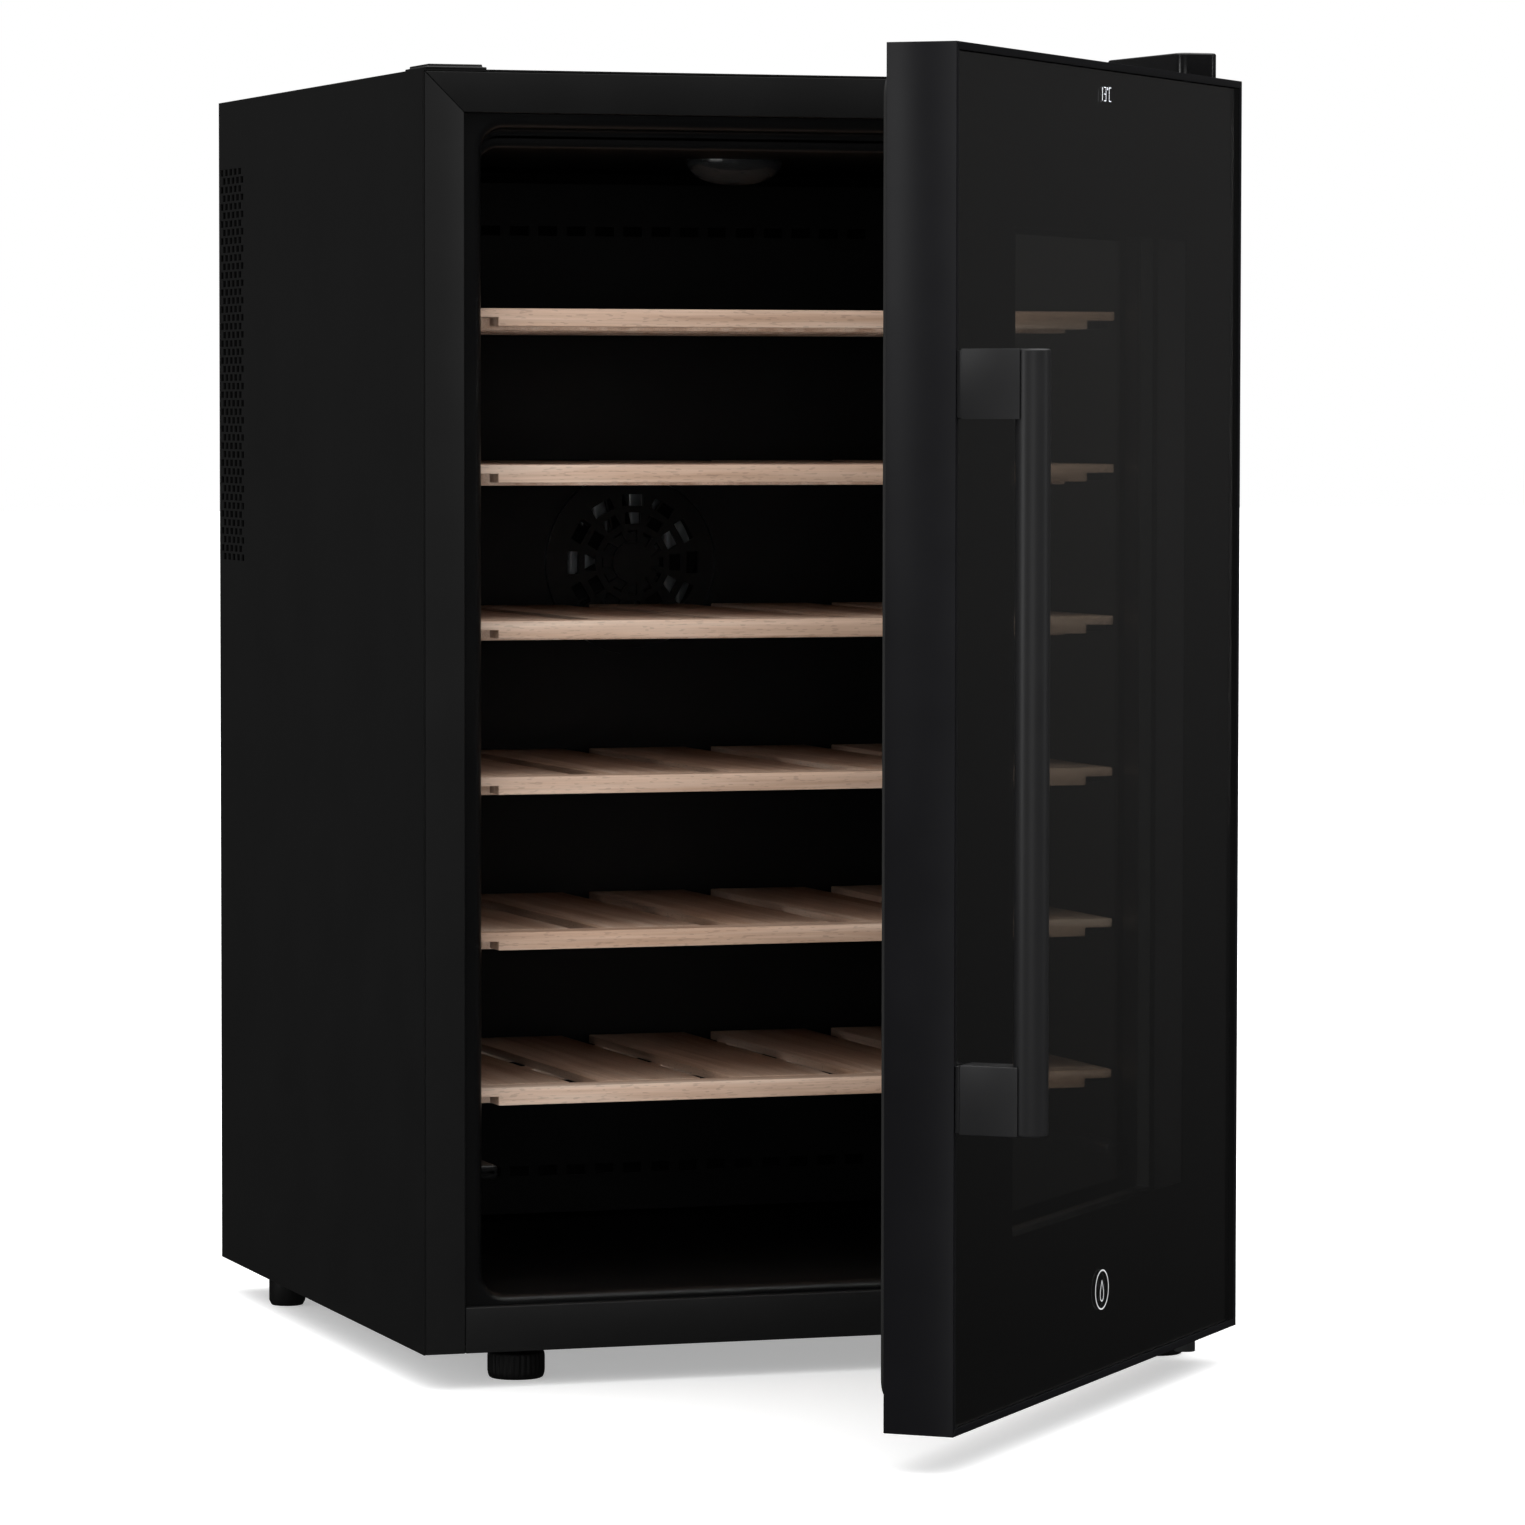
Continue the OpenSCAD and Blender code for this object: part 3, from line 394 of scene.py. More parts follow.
# %% Zinc, aluminium, board
zinc, tree, shader = finish("zinc_plated_steel", "#b9bbbd", 0.32, Metallic=1.0)
grain(tree, shader, 0.9, 0.008, tone=("#aeb0b2", "#c4c5c6"), rough=(0.26, 0.40))
galvanised, tree, shader = finish("galvanised_sheet", "#a5a8aa", 0.42, Metallic=1.0)
grain(tree, shader, 9.0, 0.01, tone=("#979a9d", "#b4b6b8"), rough=(0.34, 0.55))
extruded, tree, shader = finish("extruded_aluminium", "#c6c8ca", 0.34, Metallic=1.0)
grain(tree, shader, 0.8, 0.01, stretch=(1, 1, 0.05), rough=(0.28, 0.42))
black_anodised, tree, shader = finish("black_anodised_spacer", "#2a2a2b", 0.45, Specular_IOR_Level=0.3)
grain(tree, shader, 0.8, 0.006)
brass_pin, tree, shader = finish("nickel_plated_brass", "#c9c5b6", 0.28, Metallic=1.0)
grain(tree, shader, 0.8, 0.004)
solder_mask, tree, shader = finish("green_solder_mask", "#1d4a2b", 0.35)
grain(tree, shader, 2.5, 0.03, tone=("#173d24", "#2a6238"))
white_tile, tree, shader = finish("alumina_tile", "#e4e3dc", 0.6)
grain(tree, shader, 0.8, 0.01)

# %% [markdown]
# ## The outer cabinet
# Folded and cut sheet metal: a left and a right side, a top, four mitred front bars and a flat back.
# They keep the shapes of the engineering model. The front bars get a 0.6 mm fold radius. Sheets with
# punched holes keep their crisp edges, since a bevel round every hole would disturb their flat shading.

# %% Sheets and front bars
def paint(nodes, material):
    """Gives parts a material without touching their shape."""
    for node in nodes:
        mesh = frame["nodes"][node].data
        mesh.materials.clear()
        mesh.materials.append(material)
        print(f"{node}: {material.name}")


paint(["side_panel_left", "side_panel_right", "rear_cover", "top_panel"], coat_steel)
for node in ("frame_stile_left", "frame_stile_right", "frame_rail_top", "frame_rail_bottom"):
    eased(node, 0.6, coat_frame)
paint(["base_plate"], galvanised)
# The foam's near-black colour is painted shade for the dark behind the vents.
paint(["foam"], foam_painted_shade)

# %% [markdown]
# ## The liner
# The tub is formed from one sheet over a mould, so all of its corners are round: a wide soft lip
# round the mouth, a step down to the ceiling, and a 13 mm radius along each edge. Its section is a
# rounded rectangle whose half-width, floor, ceiling and radius change with depth. One row of numbers
# per station gives them, and the same rows moved outwards by the sheet's thickness give the back.

# %% Rounded-rectangle stations
CORNER_POINTS = 10


def stations(rows):
    """Rings from rows of (y, half-width, floor z, ceiling z, corner radius): four quarter arcs whose
    centres stand one radius in from each side, joined by straight runs."""
    y, half, low, high, radius = (np.asarray(rows, float)[:, i, None] for i in range(5))
    turn = np.linspace(0, math.pi / 2, CORNER_POINTS)
    arcs = [(half - radius, high - radius, 0), (radius - half, high - radius, 1),
            (radius - half, low + radius, 2), (half - radius, low + radius, 3)]
    x = np.hstack([cx + radius * np.cos(turn + k * math.pi / 2) for cx, _, k in arcs])
    z = np.hstack([cz + radius * np.sin(turn + k * math.pi / 2) for _, cz, k in arcs])
    return np.stack([x, np.broadcast_to(y, x.shape), z], -1)


def lip_turn(a, b, steps=7):
    """Points of a quarter turn between two rows: the first column follows 1 - cos, the others sin."""
    t = np.linspace(0, math.pi / 2, steps)[:, None]
    a, b = np.array(a, float), np.array(b, float)
    rows = a + (b - a) * np.sin(t)
    rows[:, 0] = a[0] + (b[0] - a[0]) * (1 - np.cos(t[:, 0]))
    return rows


print("points in a ring:", stations([(0, 20, 0, 30, 5)]).shape[1])

# %% [markdown]
# The tub's rows run from the flange behind the front bars, over the lip, up the ceiling's step and to
# the back wall, which closes on a hole too small to see. The outer face runs the same way back.

# %% The moulded tub
INNER_HALF, INNER_FLOOR, MOUTH_TOP, INNER_TOP, CORNER = 193.5, 50.8, 698.5, 688.0, 13.0
LIP, FLANGE_Y, FLANGE_HALF = 6.0, 6.0, 205.8
CEILING_STEP = [(14.0, MOUTH_TOP), (16.2, 698.0), (17.6, 696.6), (18.0, 694.6),
                (18.0, 691.4), (18.4, 689.6), (19.6, 688.4), (21.5, INNER_TOP)]
PINHOLE = 0.5
MIDDLE_Z = (INNER_FLOOR + INNER_TOP) / 2
flange = [FLANGE_Y, FLANGE_HALF, 45.7, 706.3, 0.5]
lip_start = [FLANGE_Y, INNER_HALF + LIP, 46.6, MOUTH_TOP + LIP, CORNER + LIP]
mouth = [FLANGE_Y + LIP, INNER_HALF, INNER_FLOOR, MOUTH_TOP, CORNER]
back_bend = [[383, INNER_HALF, INNER_FLOOR, INNER_TOP, CORNER], [387.5, 192.3, 52.0, 686.8, 12],
             [390, 187, 57.3, 681.5, 9], [390, PINHOLE, MIDDLE_Z - PINHOLE, MIDDLE_Z + PINHOLE, PINHOLE / 2]]
inside_rows = np.vstack([
    [flange],
    lip_turn(lip_start, mouth),
    [[y, INNER_HALF, INNER_FLOOR, z, CORNER] for y, z in CEILING_STEP],
    back_bend,
])
WALL = 1.8
y, half = inside_rows[::-1, 0], inside_rows[::-1, 1]
end_wall = WALL * ((y < FLANGE_Y + WALL) | (y >= back_bend[0][0]))
side_wall = WALL * ((half > PINHOLE) & (half < FLANGE_HALF))
outside_rows = inside_rows[::-1] + np.stack([end_wall, side_wall, -side_wall, side_wall, 0 * y], -1)
tub_rings = stations(np.vstack([inside_rows, outside_rows]))
points, faces = skin(on_cabinet(tub_rings), closed=True)
piece("liner_tub", points, faces, liner_hips, "cabinet", ["liner"])

# %% [markdown]
# The ledges that carry the shelves are formed in the same sheet, so their edges are as soft as its
# corners. Each is a bar with a rounded section, and its front end closes over a small dome.

# %% Shelf ledges
LEDGE_FRONT, SPARE_FRONT, LEDGE_BACK = 65.0, 26.0, 332.0
LEDGE_HALF, ROOT = 7.4, 0.7
LEDGE_X = INNER_HALF + ROOT - LEDGE_HALF
SLAT, LEDGE_H, SPARE_TOP, SPARE_H = 5.3, 4.4, 121.5, 8.0
SOFT_END = np.array([(0.0, 1.0), (0.25, 0.45), (0.8, 0.12), (1.6, 0.0)])
shelf_tops = sorted({round(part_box(f"shelf_{n}_front")[1].z / MM, 2) for n in range(1, 7)})


def ledge(side, top, height, front):
    """A bar along Y: rounded-rectangle rings that shrink to a soft end at the front and at the back.
    The corner radius is about a third of the height, and ROOT mm of the bar stand in the wall."""
    radius = height * 0.32
    y = np.concatenate([front + SOFT_END[:, 0], LEDGE_BACK - SOFT_END[::-1, 0]])
    inset = np.concatenate([SOFT_END[:, 1], SOFT_END[::-1, 1]]) * radius
    corner = np.full_like(y, radius * 0.95)
    rings = stations(np.stack([y, LEDGE_HALF - inset, top - height + inset, top - inset, corner], -1))
    rings[..., 0] += side * LEDGE_X
    return skin(on_cabinet(rings))


parts = [ledge(s, top - SLAT, LEDGE_H, LEDGE_FRONT) for s in (-1, 1) for top in shelf_tops]
parts += [ledge(s, SPARE_TOP, SPARE_H, SPARE_FRONT) for s in (-1, 1)]
points, faces = joined(parts)
piece("liner_ledges", points, faces, liner_hips, "cabinet", ["liner"])

# %% [markdown]
# ## Inside fittings
# The cover at the back, both fans, the heat sinks and the boards keep their engineering shapes. They
# are stamped, extruded or moulded with crisp corners, so a finish is all that they need.

# %% Cover, fans, sinks and boards
paint(["inner_back_cover"], liner_hips)
paint(["cold_fan_frame", "cold_fan_rotor", "hot_fan_frame", "hot_fan_rotor"], moulded_abs)
paint(["cold_sink", "hot_sink"], extruded)
paint(["power_board", "lamp_board"], solder_mask)
paint(["heat_pump"], white_tile)

# %% [markdown]
# The lamp's lens is a long smoked blister under the ceiling. It is half an ellipsoid with fine prism
# lines, and an inner face of the same form makes it a shell.

# %% Lamp lens
PRISMS, PRISM_DEPTH = 24, 0.006
INNER_SCALE, POLE = 0.9, 0.97
lens_low, lens_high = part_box("lamp_lens")
centre = (np.array(lens_low) + np.array(lens_high)) / 2
half_x, half_y = (lens_high.x - lens_low.x) / 2, (lens_high.y - lens_low.y) / 2
deep = lens_high.z - lens_low.z


def blister(scale, top, rows=14, around=64):
    """Half an ellipsoid that hangs down: x and y follow cos(v) ** 0.8, z follows -sin(v), with v from 0
    to almost a quarter turn. scale shrinks it, for the lens's inner face."""
    v = np.linspace(0, math.pi / 2 * POLE, rows)[:, None]
    u = np.linspace(0, 2 * math.pi, around, endpoint=False)[None]
    ripple = 1 + PRISM_DEPTH * np.cos(PRISMS * u) * np.sin(v)
    x = centre[0] + half_x * scale * ripple * np.cos(v) ** 0.8 * np.cos(u)
    y = centre[1] + half_y * scale * ripple * np.cos(v) ** 0.8 * np.sin(u)
    z = top - deep * scale * np.sin(v) + 0 * u
    return np.stack([x, y, z], -1)


outer, inner = blister(1.0, lens_high.z), blister(INNER_SCALE, lens_high.z)
points, faces = skin(np.concatenate([inner[::-1], outer]))
piece("lamp_lens_blister", points, faces, lens_plastic, "cabinet", ["lamp_lens"])

# %% [markdown]
# ## Hinges, caps and feet
# The hinge plates are stamped steel, so their edges are broken only slightly. A flat moulded cap closes
# the place where the hinge would go if the door were hung on the other side.

# %% Hinge plates, screws and bushes
eased("hinge_cap_left", 0.5, moulded_abs)
for node in ("hinge_plate_top", "hinge_plate_bottom"):
    eased(node, 0.4, zinc)
paint(["hinge_screws", "handle_screws"], zinc)
paint(["hinge_bushes"], nylon)

# %% [markdown]
# The upper pivot hides under a polished cap, whose tight corners catch the light. Its plan tapers to
# two wide front corners, so a loop with arcs at its corners is stacked in height, and the rings draw
# in along a quarter circle where the side meets the lid.

# %% A loop with rounded corners
def rounded_loop(corners, radii, steps=9):
    """A closed loop whose corners are arcs: each arc touches both sides at r x tan(half the turn) from
    the corner, and its middle lies along the bisector."""
    corners, loop = np.array(corners, float), []
    for before, corner, after, r in zip(np.roll(corners, 1, 0), corners, np.roll(corners, -1, 0), radii):
        to_a, to_b = before - corner, after - corner
        to_a, to_b = to_a / np.linalg.norm(to_a), to_b / np.linalg.norm(to_b)
        half = math.acos(np.clip(to_a @ to_b, -1, 1)) / 2
        middle = corner + (to_a + to_b) / np.linalg.norm(to_a + to_b) * r / math.sin(half)
        start, end = corner + to_a * r / math.tan(half) - middle, corner + to_b * r / math.tan(half) - middle
        a0 = math.atan2(start[1], start[0])
        sweep = (math.atan2(end[1], end[0]) - a0 + math.pi) % (2 * math.pi) - math.pi
        a = a0 + sweep * np.linspace(0, 1, steps)
        loop.append(middle + r * np.stack([np.cos(a), np.sin(a)], -1))
    return np.vstack(loop)


print("points in a rounded square:", len(rounded_loop([(0, 0), (9, 0), (9, 9), (0, 9)], [1, 1, 1, 1])))

# %% [markdown]
# The cap is open below. Its outer rings go up the side and over the lid, and its inner rings come back
# down one wall thickness further in. Small rings close the lid and the ceiling at their middles.

# %% Cap over the upper pivot
CAP_WALL, CAP_EDGE, CAP_TAPER = 1.4, 1.2, 6.5
BACK_R, FRONT_R, CLOSING = 1.5, 6.0, 0.02
cap_low, cap_high = (np.array(c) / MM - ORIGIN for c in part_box("hinge_cover"))


def cap_loop(inset, z):
    """The cap's plan at one height, drawn in by inset: a tapered rectangle with two wide front corners."""
    back, front, right = cap_high[1] - inset, cap_low[1] + inset, cap_high[0] - inset
    left = cap_low[0] + inset
    corners = [(left, back), (right, back), (right, front), (left + CAP_TAPER, front)]
    loop = rounded_loop(corners, [BACK_R, BACK_R, FRONT_R - inset, FRONT_R - inset])
    return np.column_stack([loop, np.full(len(loop), z)])


def closing(ring):
    """The ring shrunk towards its own middle."""
    return ring.mean(0) + (ring - ring.mean(0)) * CLOSING


over = [cap_loop(CAP_EDGE * (1 - math.cos(a)), cap_high[2] - CAP_EDGE * (1 - math.sin(a)))
        for a in np.linspace(0, math.pi / 2, 5)]
outer_shell = np.stack([cap_loop(0.0, cap_low[2])] + over)
under = np.stack([cap_loop(CAP_WALL, cap_high[2] - CAP_WALL), cap_loop(CAP_WALL, cap_low[2])])
rings = np.concatenate([outer_shell, closing(outer_shell[-1])[None], closing(under[0])[None], under])
points, faces = skin(on_cabinet(rings), closed=True)
piece("hinge_cap_right", points, faces, hinge_abs, "cabinet", ["hinge_cover"])

# %% [markdown]
# The front feet are turned plastic pads with shallow flutes for the fingers, because they are screwed
# in and out by hand to level the cabinet. A lathe profile gives the rings, and a wave with FLUTES
# crests cuts into the rows at the rim only.

# %% Fluted feet
FLUTES, FLUTE_DEPTH = 30, 0.6


def fluted_pad(centre_xy, profile, flute, fluted):
    """Rings about a vertical axis: radius from the profile, less flute x |cos(angle x FLUTES / 2)| ** 3
    on the rows marked as fluted."""
    u = np.linspace(0, 2 * math.pi, FLUTES * 8, endpoint=False)[None]
    r, z = (np.array(profile, float)[:, i, None] for i in range(2))
    mark = np.array(fluted, float)[:, None]
    r = r - flute * mark * np.abs(np.cos(u * FLUTES / 2)) ** 3
    return np.stack([centre_xy[0] + r * np.cos(u), centre_xy[1] + r * np.sin(u), z + 0 * u], -1)


pad_profile = [(12.0, 0.0), (14.4, 0.0), (15.2, 0.5), (15.9, 2.2), (16.2, 4.2), (16.2, 12.4), (15.9, 14.2),
               (15.0, 15.0), (8.0, 15.0), (8.0, 16.4), (7.6, 16.6), (4.0, 16.6), (4.0, 36.0)]
pad_flutes = [0, 0, 0, 0, 1, 1, 0, 0, 0, 0, 0, 0, 0]
for node, body in (("foot_front_left", "foot_left"), ("foot_front_right", "foot_right")):
    low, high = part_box(node)
    middle_xy = [(low.x + high.x) / 2 / MM - ORIGIN[0], (low.y + high.y) / 2 / MM - ORIGIN[1]]
    points, faces = skin(on_cabinet(fluted_pad(middle_xy, pad_profile, FLUTE_DEPTH, pad_flutes)))
    piece(node + "_pad", points, faces, moulded_abs, body, [node], smooth=50)
eased("feet_rear", 0.5, moulded_abs)

# %% [markdown]
# ## Shelves
# Each shelf is a front rail, five slats and three battens. A planed board has its edges broken by
# hand or with a small cutter, about 0.5 mm, and that soft edge is what lets it slide and not splinter.

# %% Shelf rails and decks
for n in range(1, 7):
    eased(f"shelf_{n}_front", 0.5, beech_rail)
    eased(f"shelf_{n}_deck", 0.6, beech_slat)

# %% [markdown]
# ## The door
# Four painted aluminium bars hold the sealed panes. A printed border hides the bars and the seal, and
# a moulded frame with a magnetic seal closes the back.

# %% Bars, panes and inner frame
for node, radius in (("door_stile_free", 0.9), ("door_stile_hinge", 0.5),
                     ("door_rail_top", 0.5), ("door_rail_bottom", 0.5)):
    eased(node, radius, coat_door)
paint(["glass_outer"], tinted_glass)
paint(["glass_inner"], clear_glass)
paint(["glass_spacer"], black_anodised)
paint(["display_board"], moulded_abs)
eased("door_inner_frame", 0.8, moulded_abs)

# %% [markdown]
# The border is printed on the back of the outer pane. As a layer of its own it stands 0.04 mm behind
# the glass: two faces in exactly one plane would fight, and show as triangles of different tone. It is
# a flat ring of four corners, from the sheet's edge to the window's.

# %% Printed border on the back of the outer pane
PRINT_X, PRINT_Y, PRINT_EDGE = (-225.3, 221.3), (-40.96, -40.45), 4.7
WINDOW = 92.0
door_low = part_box("door_stile_free")[0].z / MM
door_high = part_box("door_stile_free")[1].z / MM
window_x = (panel_high.x - panel_low.x) / 2 / MM - WINDOW
sheet_sides = (*PRINT_X, door_low + PRINT_EDGE, door_high - PRINT_EDGE)
window_sides = (-window_x, window_x, door_low + WINDOW, door_high - WINDOW)


def sheet_ring(sides, y):
    """Four corners of a rectangle (x0, x1, z0, z1) at depth y, one after another."""
    x0, x1, z0, z1 = sides
    return [(x0, y, z0), (x1, y, z0), (x1, y, z1), (x0, y, z1)]


border_rings = np.array([sheet_ring(sheet_sides, PRINT_Y[0]), sheet_ring(window_sides, PRINT_Y[0]),
                         sheet_ring(window_sides, PRINT_Y[1]), sheet_ring(sheet_sides, PRINT_Y[1])])
points, faces = skin(on_door(border_rings), closed=True)
piece("printed_border", points, faces, enamel, "door", ["glass_border"], smooth=20)

# %% [markdown]
# On the hinge side the pane stands a little clear of its bar. A dull foam tape fills that gap, and its
# lip covers the pane's edge, because a bare glass edge would pick up light and glow. Tape and lip are
# near black and matt, so they also paint the groove's shadow: a dark band of painted shade.

# %% Glazing tape beside the pane
TAPE_X, TAPE_Y, TAPE_R = (221.35, 225.95), (-43.9, -40.45), 0.4
LIP_X, LIP_Y, END_GAP = (217.6, 225.95), (-45.08, -45.01), 4.05


def upright_bar(section):
    """A bar along Z with the given (x, y) section, from END_GAP above the door's foot to END_GAP below
    its head."""
    return skin(on_door(np.stack([np.column_stack([section, np.full(len(section), z)])
                                  for z in (door_low + END_GAP, door_high - END_GAP)])))


bend = np.linspace(0, math.pi / 2, 6)
out, back = TAPE_R * (1 - np.cos(bend)), TAPE_R * (1 - np.sin(bend))
tape_section = np.vstack([np.stack([TAPE_X[0] + out, TAPE_Y[0] + back], -1),
                          np.stack([TAPE_X[1] - back, TAPE_Y[0] + out], -1),
                          [(TAPE_X[1], TAPE_Y[1]), (TAPE_X[0], TAPE_Y[1])]])
lip_section = np.array([(LIP_X[0], LIP_Y[0]), (LIP_X[1], LIP_Y[0]),
                        (LIP_X[1], LIP_Y[1]), (LIP_X[0], LIP_Y[1])])
points, faces = joined([upright_bar(tape_section), upright_bar(lip_section)])
# Near black and matt, the tape and its lip paint the groove's shade as well as covering the glass edge.
piece("glazing_strip_painted_shade", points, faces, glazing_tape_painted_shade, "door")

# %% [markdown]
# The seal is a hollow PVC extrusion: a foot pressed into the frame, a bellows that lets it reach for
# the cabinet, and a flat bulb with a magnet strip. Its section is one closed line of points, carried
# round a rounded rectangle and welded at the corners.

# %% Magnetic seal
SEAL_EDGE, SEAL_BASE, SEAL_CORNER = 22.0, -7.5, 4.0
seal_half = window_x + WINDOW - SEAL_EDGE
seal_section = np.array([
    (0.0, 0.0), (10.0, 0.0), (10.0, 0.9), (9.2, 1.5), (7.2, 1.9), (7.0, 2.5), (8.9, 3.0), (9.3, 3.5),
    (8.6, 4.0), (8.9, 4.6), (8.9, 6.2), (8.3, 6.75), (1.7, 6.75), (1.1, 6.2), (1.1, 4.6), (1.4, 4.0),
    (0.7, 3.5), (1.1, 3.0), (3.0, 2.5), (2.8, 1.9), (0.8, 1.5), (0.0, 0.9)])
across, up = seal_section[:, 0], seal_section[:, 1]
seal_rows = np.stack([SEAL_BASE + up, seal_half + across, door_low + SEAL_EDGE - across,
                      door_high - SEAL_EDGE + across, SEAL_CORNER + across], -1)
points, faces = skin(on_door(stations(seal_rows)), closed=True)
piece("door_seal", points, faces, seal_pvc, "door", ["gasket"], smooth=55)

# %% [markdown]
# ## The handle
# A coated aluminium tube on two solid brackets. The tube is turned to length, and its ends are
# rounded by about a millimetre, so its ring radius follows a quarter circle at each end.

# %% Bar and brackets
BAR_R, ROUND, END_RING = 8.99, 1.3, 0.4
BAR_AXIS = (-220.0, -83.5)
bar_z0, bar_z1 = (corner.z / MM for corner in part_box("handle_bar"))
turn = np.linspace(0, math.pi / 2, 6)
end_r = BAR_R - ROUND + ROUND * np.sin(turn)
end_z = ROUND * (1 - np.cos(turn))
bar_r = np.concatenate([[BAR_R * END_RING], end_r, end_r[::-1], [BAR_R * END_RING]])[:, None]
bar_z = np.concatenate([[bar_z0], bar_z0 + end_z, bar_z1 - end_z[::-1], [bar_z1]])[:, None]
u = np.linspace(0, 2 * math.pi, 96, endpoint=False)[None]
bar_rings = np.stack([BAR_AXIS[0] + bar_r * np.cos(u), BAR_AXIS[1] + bar_r * np.sin(u), bar_z + 0 * u], -1)
points, faces = skin(on_door(bar_rings))
piece("handle_bar_tube", points, faces, coat_handle, "door", ["handle_bar"])
for node in ("handle_bracket_upper", "handle_bracket_lower"):
    eased(node, 0.6, coat_handle)

# %% [markdown]
# ## Display and mark
# A small numeric display shines through the glass above the window. Its digits are the usual seven
# bars, so each bar is one long hexagon, and the number is a list of places. Below the window a plain
# ring with a drop stands where a maker would print a sign of their own.

# %% Thin flat shapes on the door's face
GLASS_FACE, FILM, CLEAR = -45.0, 0.06, 0.01


def prism(outline):
    """A thin plate in front of the glass from an (m, 2) outline in door X and Z: two copies of the
    outline, a film's thickness apart."""
    m = len(outline)
    ring = np.stack([outline[:, 0], np.zeros(m), outline[:, 1]], -1)
    rings = np.stack([ring + [0, GLASS_FACE - FILM, 0], ring + [0, GLASS_FACE - CLEAR, 0]])
    return skin(rings)


def bar_shape(x0, z0, x1, z1, width):
    """A long hexagon from one end to the other, with pointed ends: the bar of a digit."""
    a, b = np.array([x0, z0]), np.array([x1, z1])
    along = (b - a) / np.linalg.norm(b - a)
    side = np.array([-along[1], along[0]]) * width / 2
    step = along * width / 2
    return np.array([a, a + step + side, b - step + side, b, b - step - side, a + step - side])


print("points in a digit's bar:", len(bar_shape(0, 0, 0, 1, 0.1)))

# %% [markdown]
# Each digit names its lit bars by the usual letters, a at the top and then clockwise, with g across the
# middle. A small square beside the last sign stands for the degree.

# %% Seven-bar digits
DIGIT_W, DIGIT_H, STROKE, DIGIT_DROP = 3.2, 7.2, 0.3, 17.0
BARS = {"a": (0, 1, 1, 1), "b": (1, .5, 1, 1), "c": (1, 0, 1, .5), "d": (0, 0, 1, 0), "e": (0, 0, 0, .5),
        "f": (0, .5, 0, 1), "g": (0, .5, 1, .5)}
SIGNS = [("bc", -10.0), ("abcdg", -4.4), ("adef", 3.9)]
DEGREE, DEGREE_HALF, DEGREE_STROKE = [1.4, 0.6], 0.55, 0.25
display_z = door_high - DIGIT_DROP - DIGIT_H / 2
shapes = []
for lit, left in SIGNS:
    for key in lit:
        x0, z0, x1, z1 = BARS[key]
        shapes.append(bar_shape(left + x0 * DIGIT_W, display_z + z0 * DIGIT_H,
                                left + x1 * DIGIT_W, display_z + z1 * DIGIT_H, STROKE))
square = np.array([(-1, -1), (1, -1), (1, 1), (-1, 1)]) * DEGREE_HALF
square += [DEGREE[0], display_z + DIGIT_H - DEGREE[1]]
for p, q in zip(square, np.roll(square, -1, 0)):
    shapes.append(bar_shape(*p, *q, DEGREE_STROKE))
points, faces = joined([prism(s) for s in shapes])
piece("display_digits", on_door(points), faces, led_light, "door", smooth=30)

# %% [markdown]
# A printed line is a ribbon: its outline moved both ways by half the line's width. The drop is a curve
# whose half-width is sin(t) x sin(t / 2) ** 1.2, which is pointed at the top and round below.

# %% Ring and drop
def band(outline, width):
    """A closed ribbon: the outline moved inwards and outwards by half its width along its own normal."""
    ahead = np.roll(outline, -1, 0) - np.roll(outline, 1, 0)
    normal = np.stack([ahead[:, 1], -ahead[:, 0]], -1)
    normal /= np.linalg.norm(normal, axis=1, keepdims=True)
    out, into = outline + normal * width / 2, outline - normal * width / 2
    layers = [(out, -FILM), (out, -CLEAR), (into, -CLEAR), (into, -FILM)]
    rings = np.stack([np.stack([p[:, 0], np.full(len(p), GLASS_FACE + y), p[:, 1]], -1) for p, y in layers])
    return skin(rings, closed=True)


MARK_UP, RING_R, RING_LINE = 48.0, 10.5, 0.8
DROP_HALF, DROP_TALL, DROP_SINK, DROP_LINE = 3.6, 5.6, 0.6, 0.7
mark_z = door_low + MARK_UP
t = np.linspace(0, 2 * math.pi, 72, endpoint=False)
ring_path = np.stack([RING_R * np.cos(t), mark_z + RING_R * np.sin(t)], -1)
drop_path = np.stack([DROP_HALF * np.sin(t) * np.sin(t / 2) ** 1.2,
                      mark_z - DROP_SINK + DROP_TALL * np.cos(t)], -1)
points, faces = joined([band(ring_path, RING_LINE), band(drop_path, DROP_LINE)])
# The ring and drop are print with a painted glow of their own.
piece("door_mark", on_door(points), faces, mark_with_painted_glow, "door", smooth=30)

# %% [markdown]
# ## Back of the cabinet
# The mains inlet has three flat pins in a recess. Each is a short bar with softened corners whose tip
# is a little smaller, so three stations of a rounded rectangle are enough.

# %% Inlet pins
PIN_ROOT, PIN_NECK, PIN_TIP = 16.0, 3.0, 2.0
PIN_PLACES = ((-7.0, -1.5), (7.0, -1.5), (0.0, 2.5))
low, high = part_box("inlet_socket")
inlet = [(low.x + high.x) / 2 / MM - ORIGIN[0], (low.z + high.z) / 2 / MM]
rear_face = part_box("rear_cover")[1].y / MM - ORIGIN[1]
paint(["inlet_socket"], moulded_abs)
pins = []
for dx, dz in PIN_PLACES:
    rows = [[rear_face - PIN_ROOT, 1.0, -2.0, 2.0, 0.4], [rear_face - PIN_NECK, 1.0, -2.0, 2.0, 0.4],
            [rear_face - PIN_TIP, 0.6, -1.4, 1.4, 0.3]]
    rings = stations(rows) + [inlet[0] + dx, 0, inlet[1] + dz]
    pins.append(skin(on_cabinet(rings)))
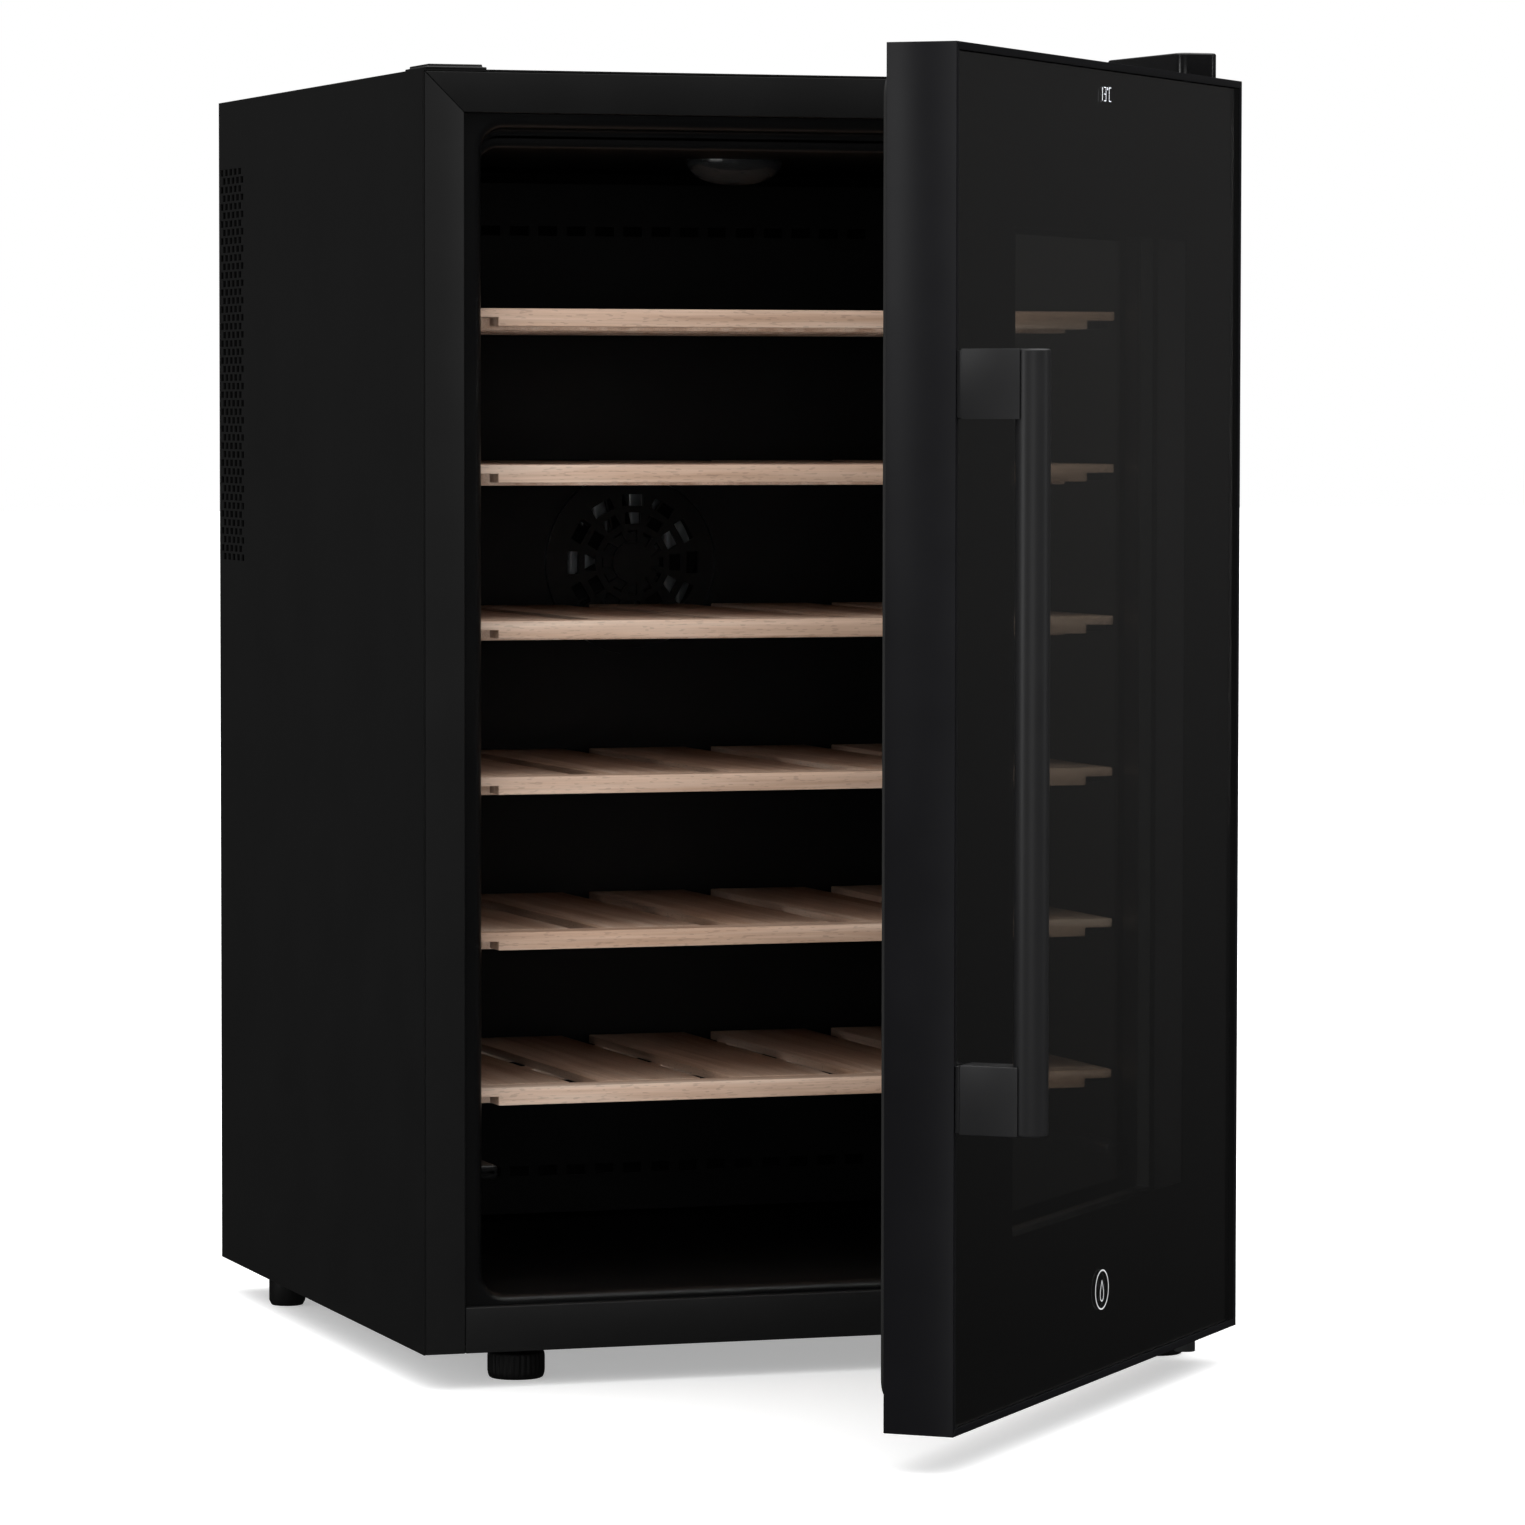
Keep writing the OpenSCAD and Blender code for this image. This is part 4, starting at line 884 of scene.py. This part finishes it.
points, faces = joined(pins)
piece("inlet_pins", points, faces, brass_pin, "cabinet")

# %% [markdown]
# Ten pan-head screws hold the rear cover, five down each side. A head is a low dome turned from a short
# profile of radius and height, and one loop places them all in a single piece.

# %% Rear cover's screws
SCREW_IN, SCREW_END, SCREWS_A_SIDE = 8.0, 10.0, 5
cover_low, cover_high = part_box("rear_cover")
x_edge = (cover_high.x - cover_low.x) / 2 / MM - SCREW_IN
heights = np.linspace(cover_low.z / MM + SCREW_END, cover_high.z / MM - SCREW_END, SCREWS_A_SIDE)
head = np.array([(0.5, 1.6), (2.2, 1.5), (3.3, 1.0), (3.9, 0.25), (4.0, 0.0), (3.9, -0.1)])
u = np.linspace(0, 2 * math.pi, 20, endpoint=False)[None]
screws = []
for sx in (-1, 1):
    for z in heights:
        r, y = head[:, 0, None], rear_face + head[:, 1, None]
        rings = np.stack([sx * x_edge + r * np.cos(u), y + 0 * u, z + r * np.sin(u)], -1)
        screws.append(skin(on_cabinet(rings)))
points, faces = joined(screws)
piece("rear_cover_screws", points, faces, zinc, "cabinet")

# %% [markdown]
# ## Stage, light and camera
# Black objects are lit by what they reflect, so a studio keeps a white floor out of their faces. Here
# the floor glows faintly, like acrylic lit from below, and it is hidden from reflections and from what
# is seen through glass.

# %% Floor
floor_mesh = bpy.data.meshes.new("floor")
SIDE = 30.0
floor_mesh.from_pydata([(-SIDE, -SIDE, 0), (SIDE, -SIDE, 0), (SIDE, SIDE, 0), (-SIDE, SIDE, 0)], [],
                       [(0, 1, 2, 3)])
floor = bpy.data.objects.new("floor", floor_mesh)
bpy.context.scene.collection.objects.link(floor)
floor_paper, tree, shader = finish("white_acrylic_lit_from_below", "#f2f2f2", 0.9, Specular_IOR_Level=0.1,
                                  Emission_Color=(1, 1, 1, 1), Emission_Strength=0.37)
floor_mesh.materials.append(floor_paper)
floor.visible_glossy = False
floor.visible_transmission = False
print("floor half-side (m):", SIDE)

# %% [markdown]
# The sky answers each kind of ray in its own way. Camera rays see plain white. Diffuse rays see an even
# bright room, which lights the wood and the floor. Rays that come off a gloss see a room that is dim at
# eye level and bright overhead, so upright black faces stay black. The numbers are Z of the direction,
# from 0 at eye level to 1 overhead, and the light's strength.

# %% Sky
WHITE = (1, 1, 1, 1)
DIM = {"From Min": -0.14, "From Max": 0.08, "To Min": 0.018, "To Max": 0.065}
OVERHEAD = {"From Min": 0.35, "From Max": 0.95, "To Max": 2.9, "interpolation_type": "SMOOTHSTEP"}
EVEN = {"From Min": 0.0, "From Max": 0.9, "To Min": 1.1, "To Max": 1.35, "interpolation_type": "SMOOTHSTEP"}
world = bpy.data.worlds.new("studio")
bpy.context.scene.world = world
world.use_nodes = True
sky = world.node_tree
sky.nodes.clear()
where = add(sky, "ShaderNodeTexCoord")
split = add(sky, "ShaderNodeSeparateXYZ", links={0: where.outputs["Generated"]})
height = split.outputs["Z"]
dim = add(sky, "ShaderNodeMapRange", DIM, {"Value": height})
glossy = add(sky, "ShaderNodeMapRange", OVERHEAD, {"Value": height, "To Min": dim.outputs[0]})
even = add(sky, "ShaderNodeMapRange", EVEN, {"Value": height})
room = add(sky, "ShaderNodeBackground", {"Color": WHITE}, {"Strength": glossy.outputs[0]})
soft = add(sky, "ShaderNodeBackground", {"Color": WHITE}, {"Strength": even.outputs[0]})
seen = add(sky, "ShaderNodeBackground", {"Color": WHITE, "Strength": 1.0})
ray = add(sky, "ShaderNodeLightPath")
lit = add(sky, "ShaderNodeMixShader", links={0: ray.outputs["Is Diffuse Ray"], 1: room.outputs[0],
                                             2: soft.outputs[0]})
mix = add(sky, "ShaderNodeMixShader", links={0: ray.outputs["Is Camera Ray"], 1: lit.outputs[0],
                                             2: seen.outputs[0]})
add(sky, "ShaderNodeOutputWorld", links={"Surface": mix.outputs[0]})
print("sky nodes:", len(sky.nodes))

# %% [markdown]
# Three soft panels stand round the cabinet. The left one draws the long light on the door's edge and on
# the handle, the right one lights the glass side weakly, and the front one fills the wood.

# %% Soft panels
def panel(name, place, target, width, height, power):
    """An area light at place, in metres, that looks at target."""
    data = bpy.data.lights.new(name, "AREA")
    data.shape, data.size, data.size_y, data.energy = "RECTANGLE", width, height, power
    lamp = bpy.data.objects.new(name, data)
    lamp.location = place
    back = np.array(place, float) - np.array(target, float)
    yaw = math.atan2(back[0], -back[1])
    tilt = math.atan2(math.hypot(back[0], back[1]), back[2])
    lamp.rotation_euler = (tilt, 0, yaw)
    bpy.context.scene.collection.objects.link(lamp)
    print(f"{name}: {width} x {height} m, {power} W")


panel("panel_left", (-3.9, -0.5, 0.75), (0, -0.2, 0.4), 0.7, 1.4, 17)
panel("panel_right", (3.3, -1.6, 0.7), (0, -0.2, 0.4), 0.25, 1.4, 3.5)
panel("panel_front", (-1.6, -4.4, 0.6), (0, 0, 0.4), 2.0, 1.2, 12)

# %% [markdown]
# A long lens from just under four metres away keeps upright edges almost parallel. The camera stands
# to the left of the cabinet, at about three quarters of its height, and looks down by 3 degrees.

# %% Camera
CAMERA_PLACE = (-1.24756, -3.62002, 0.54596)
CAMERA_TURN = tuple(math.radians(a) for a in (86.975, -0.079, -18.589))
lens = bpy.data.cameras.new("camera")
lens.sensor_width = 36.0
lens.lens = 159.71
camera = bpy.data.objects.new("camera", lens)
camera.location = CAMERA_PLACE
camera.rotation_euler = CAMERA_TURN
bpy.context.scene.collection.objects.link(camera)
bpy.context.scene.camera = camera
bpy.context.scene.view_settings.view_transform = "Standard"
print("camera lens (mm):", round(lens.lens, 1))
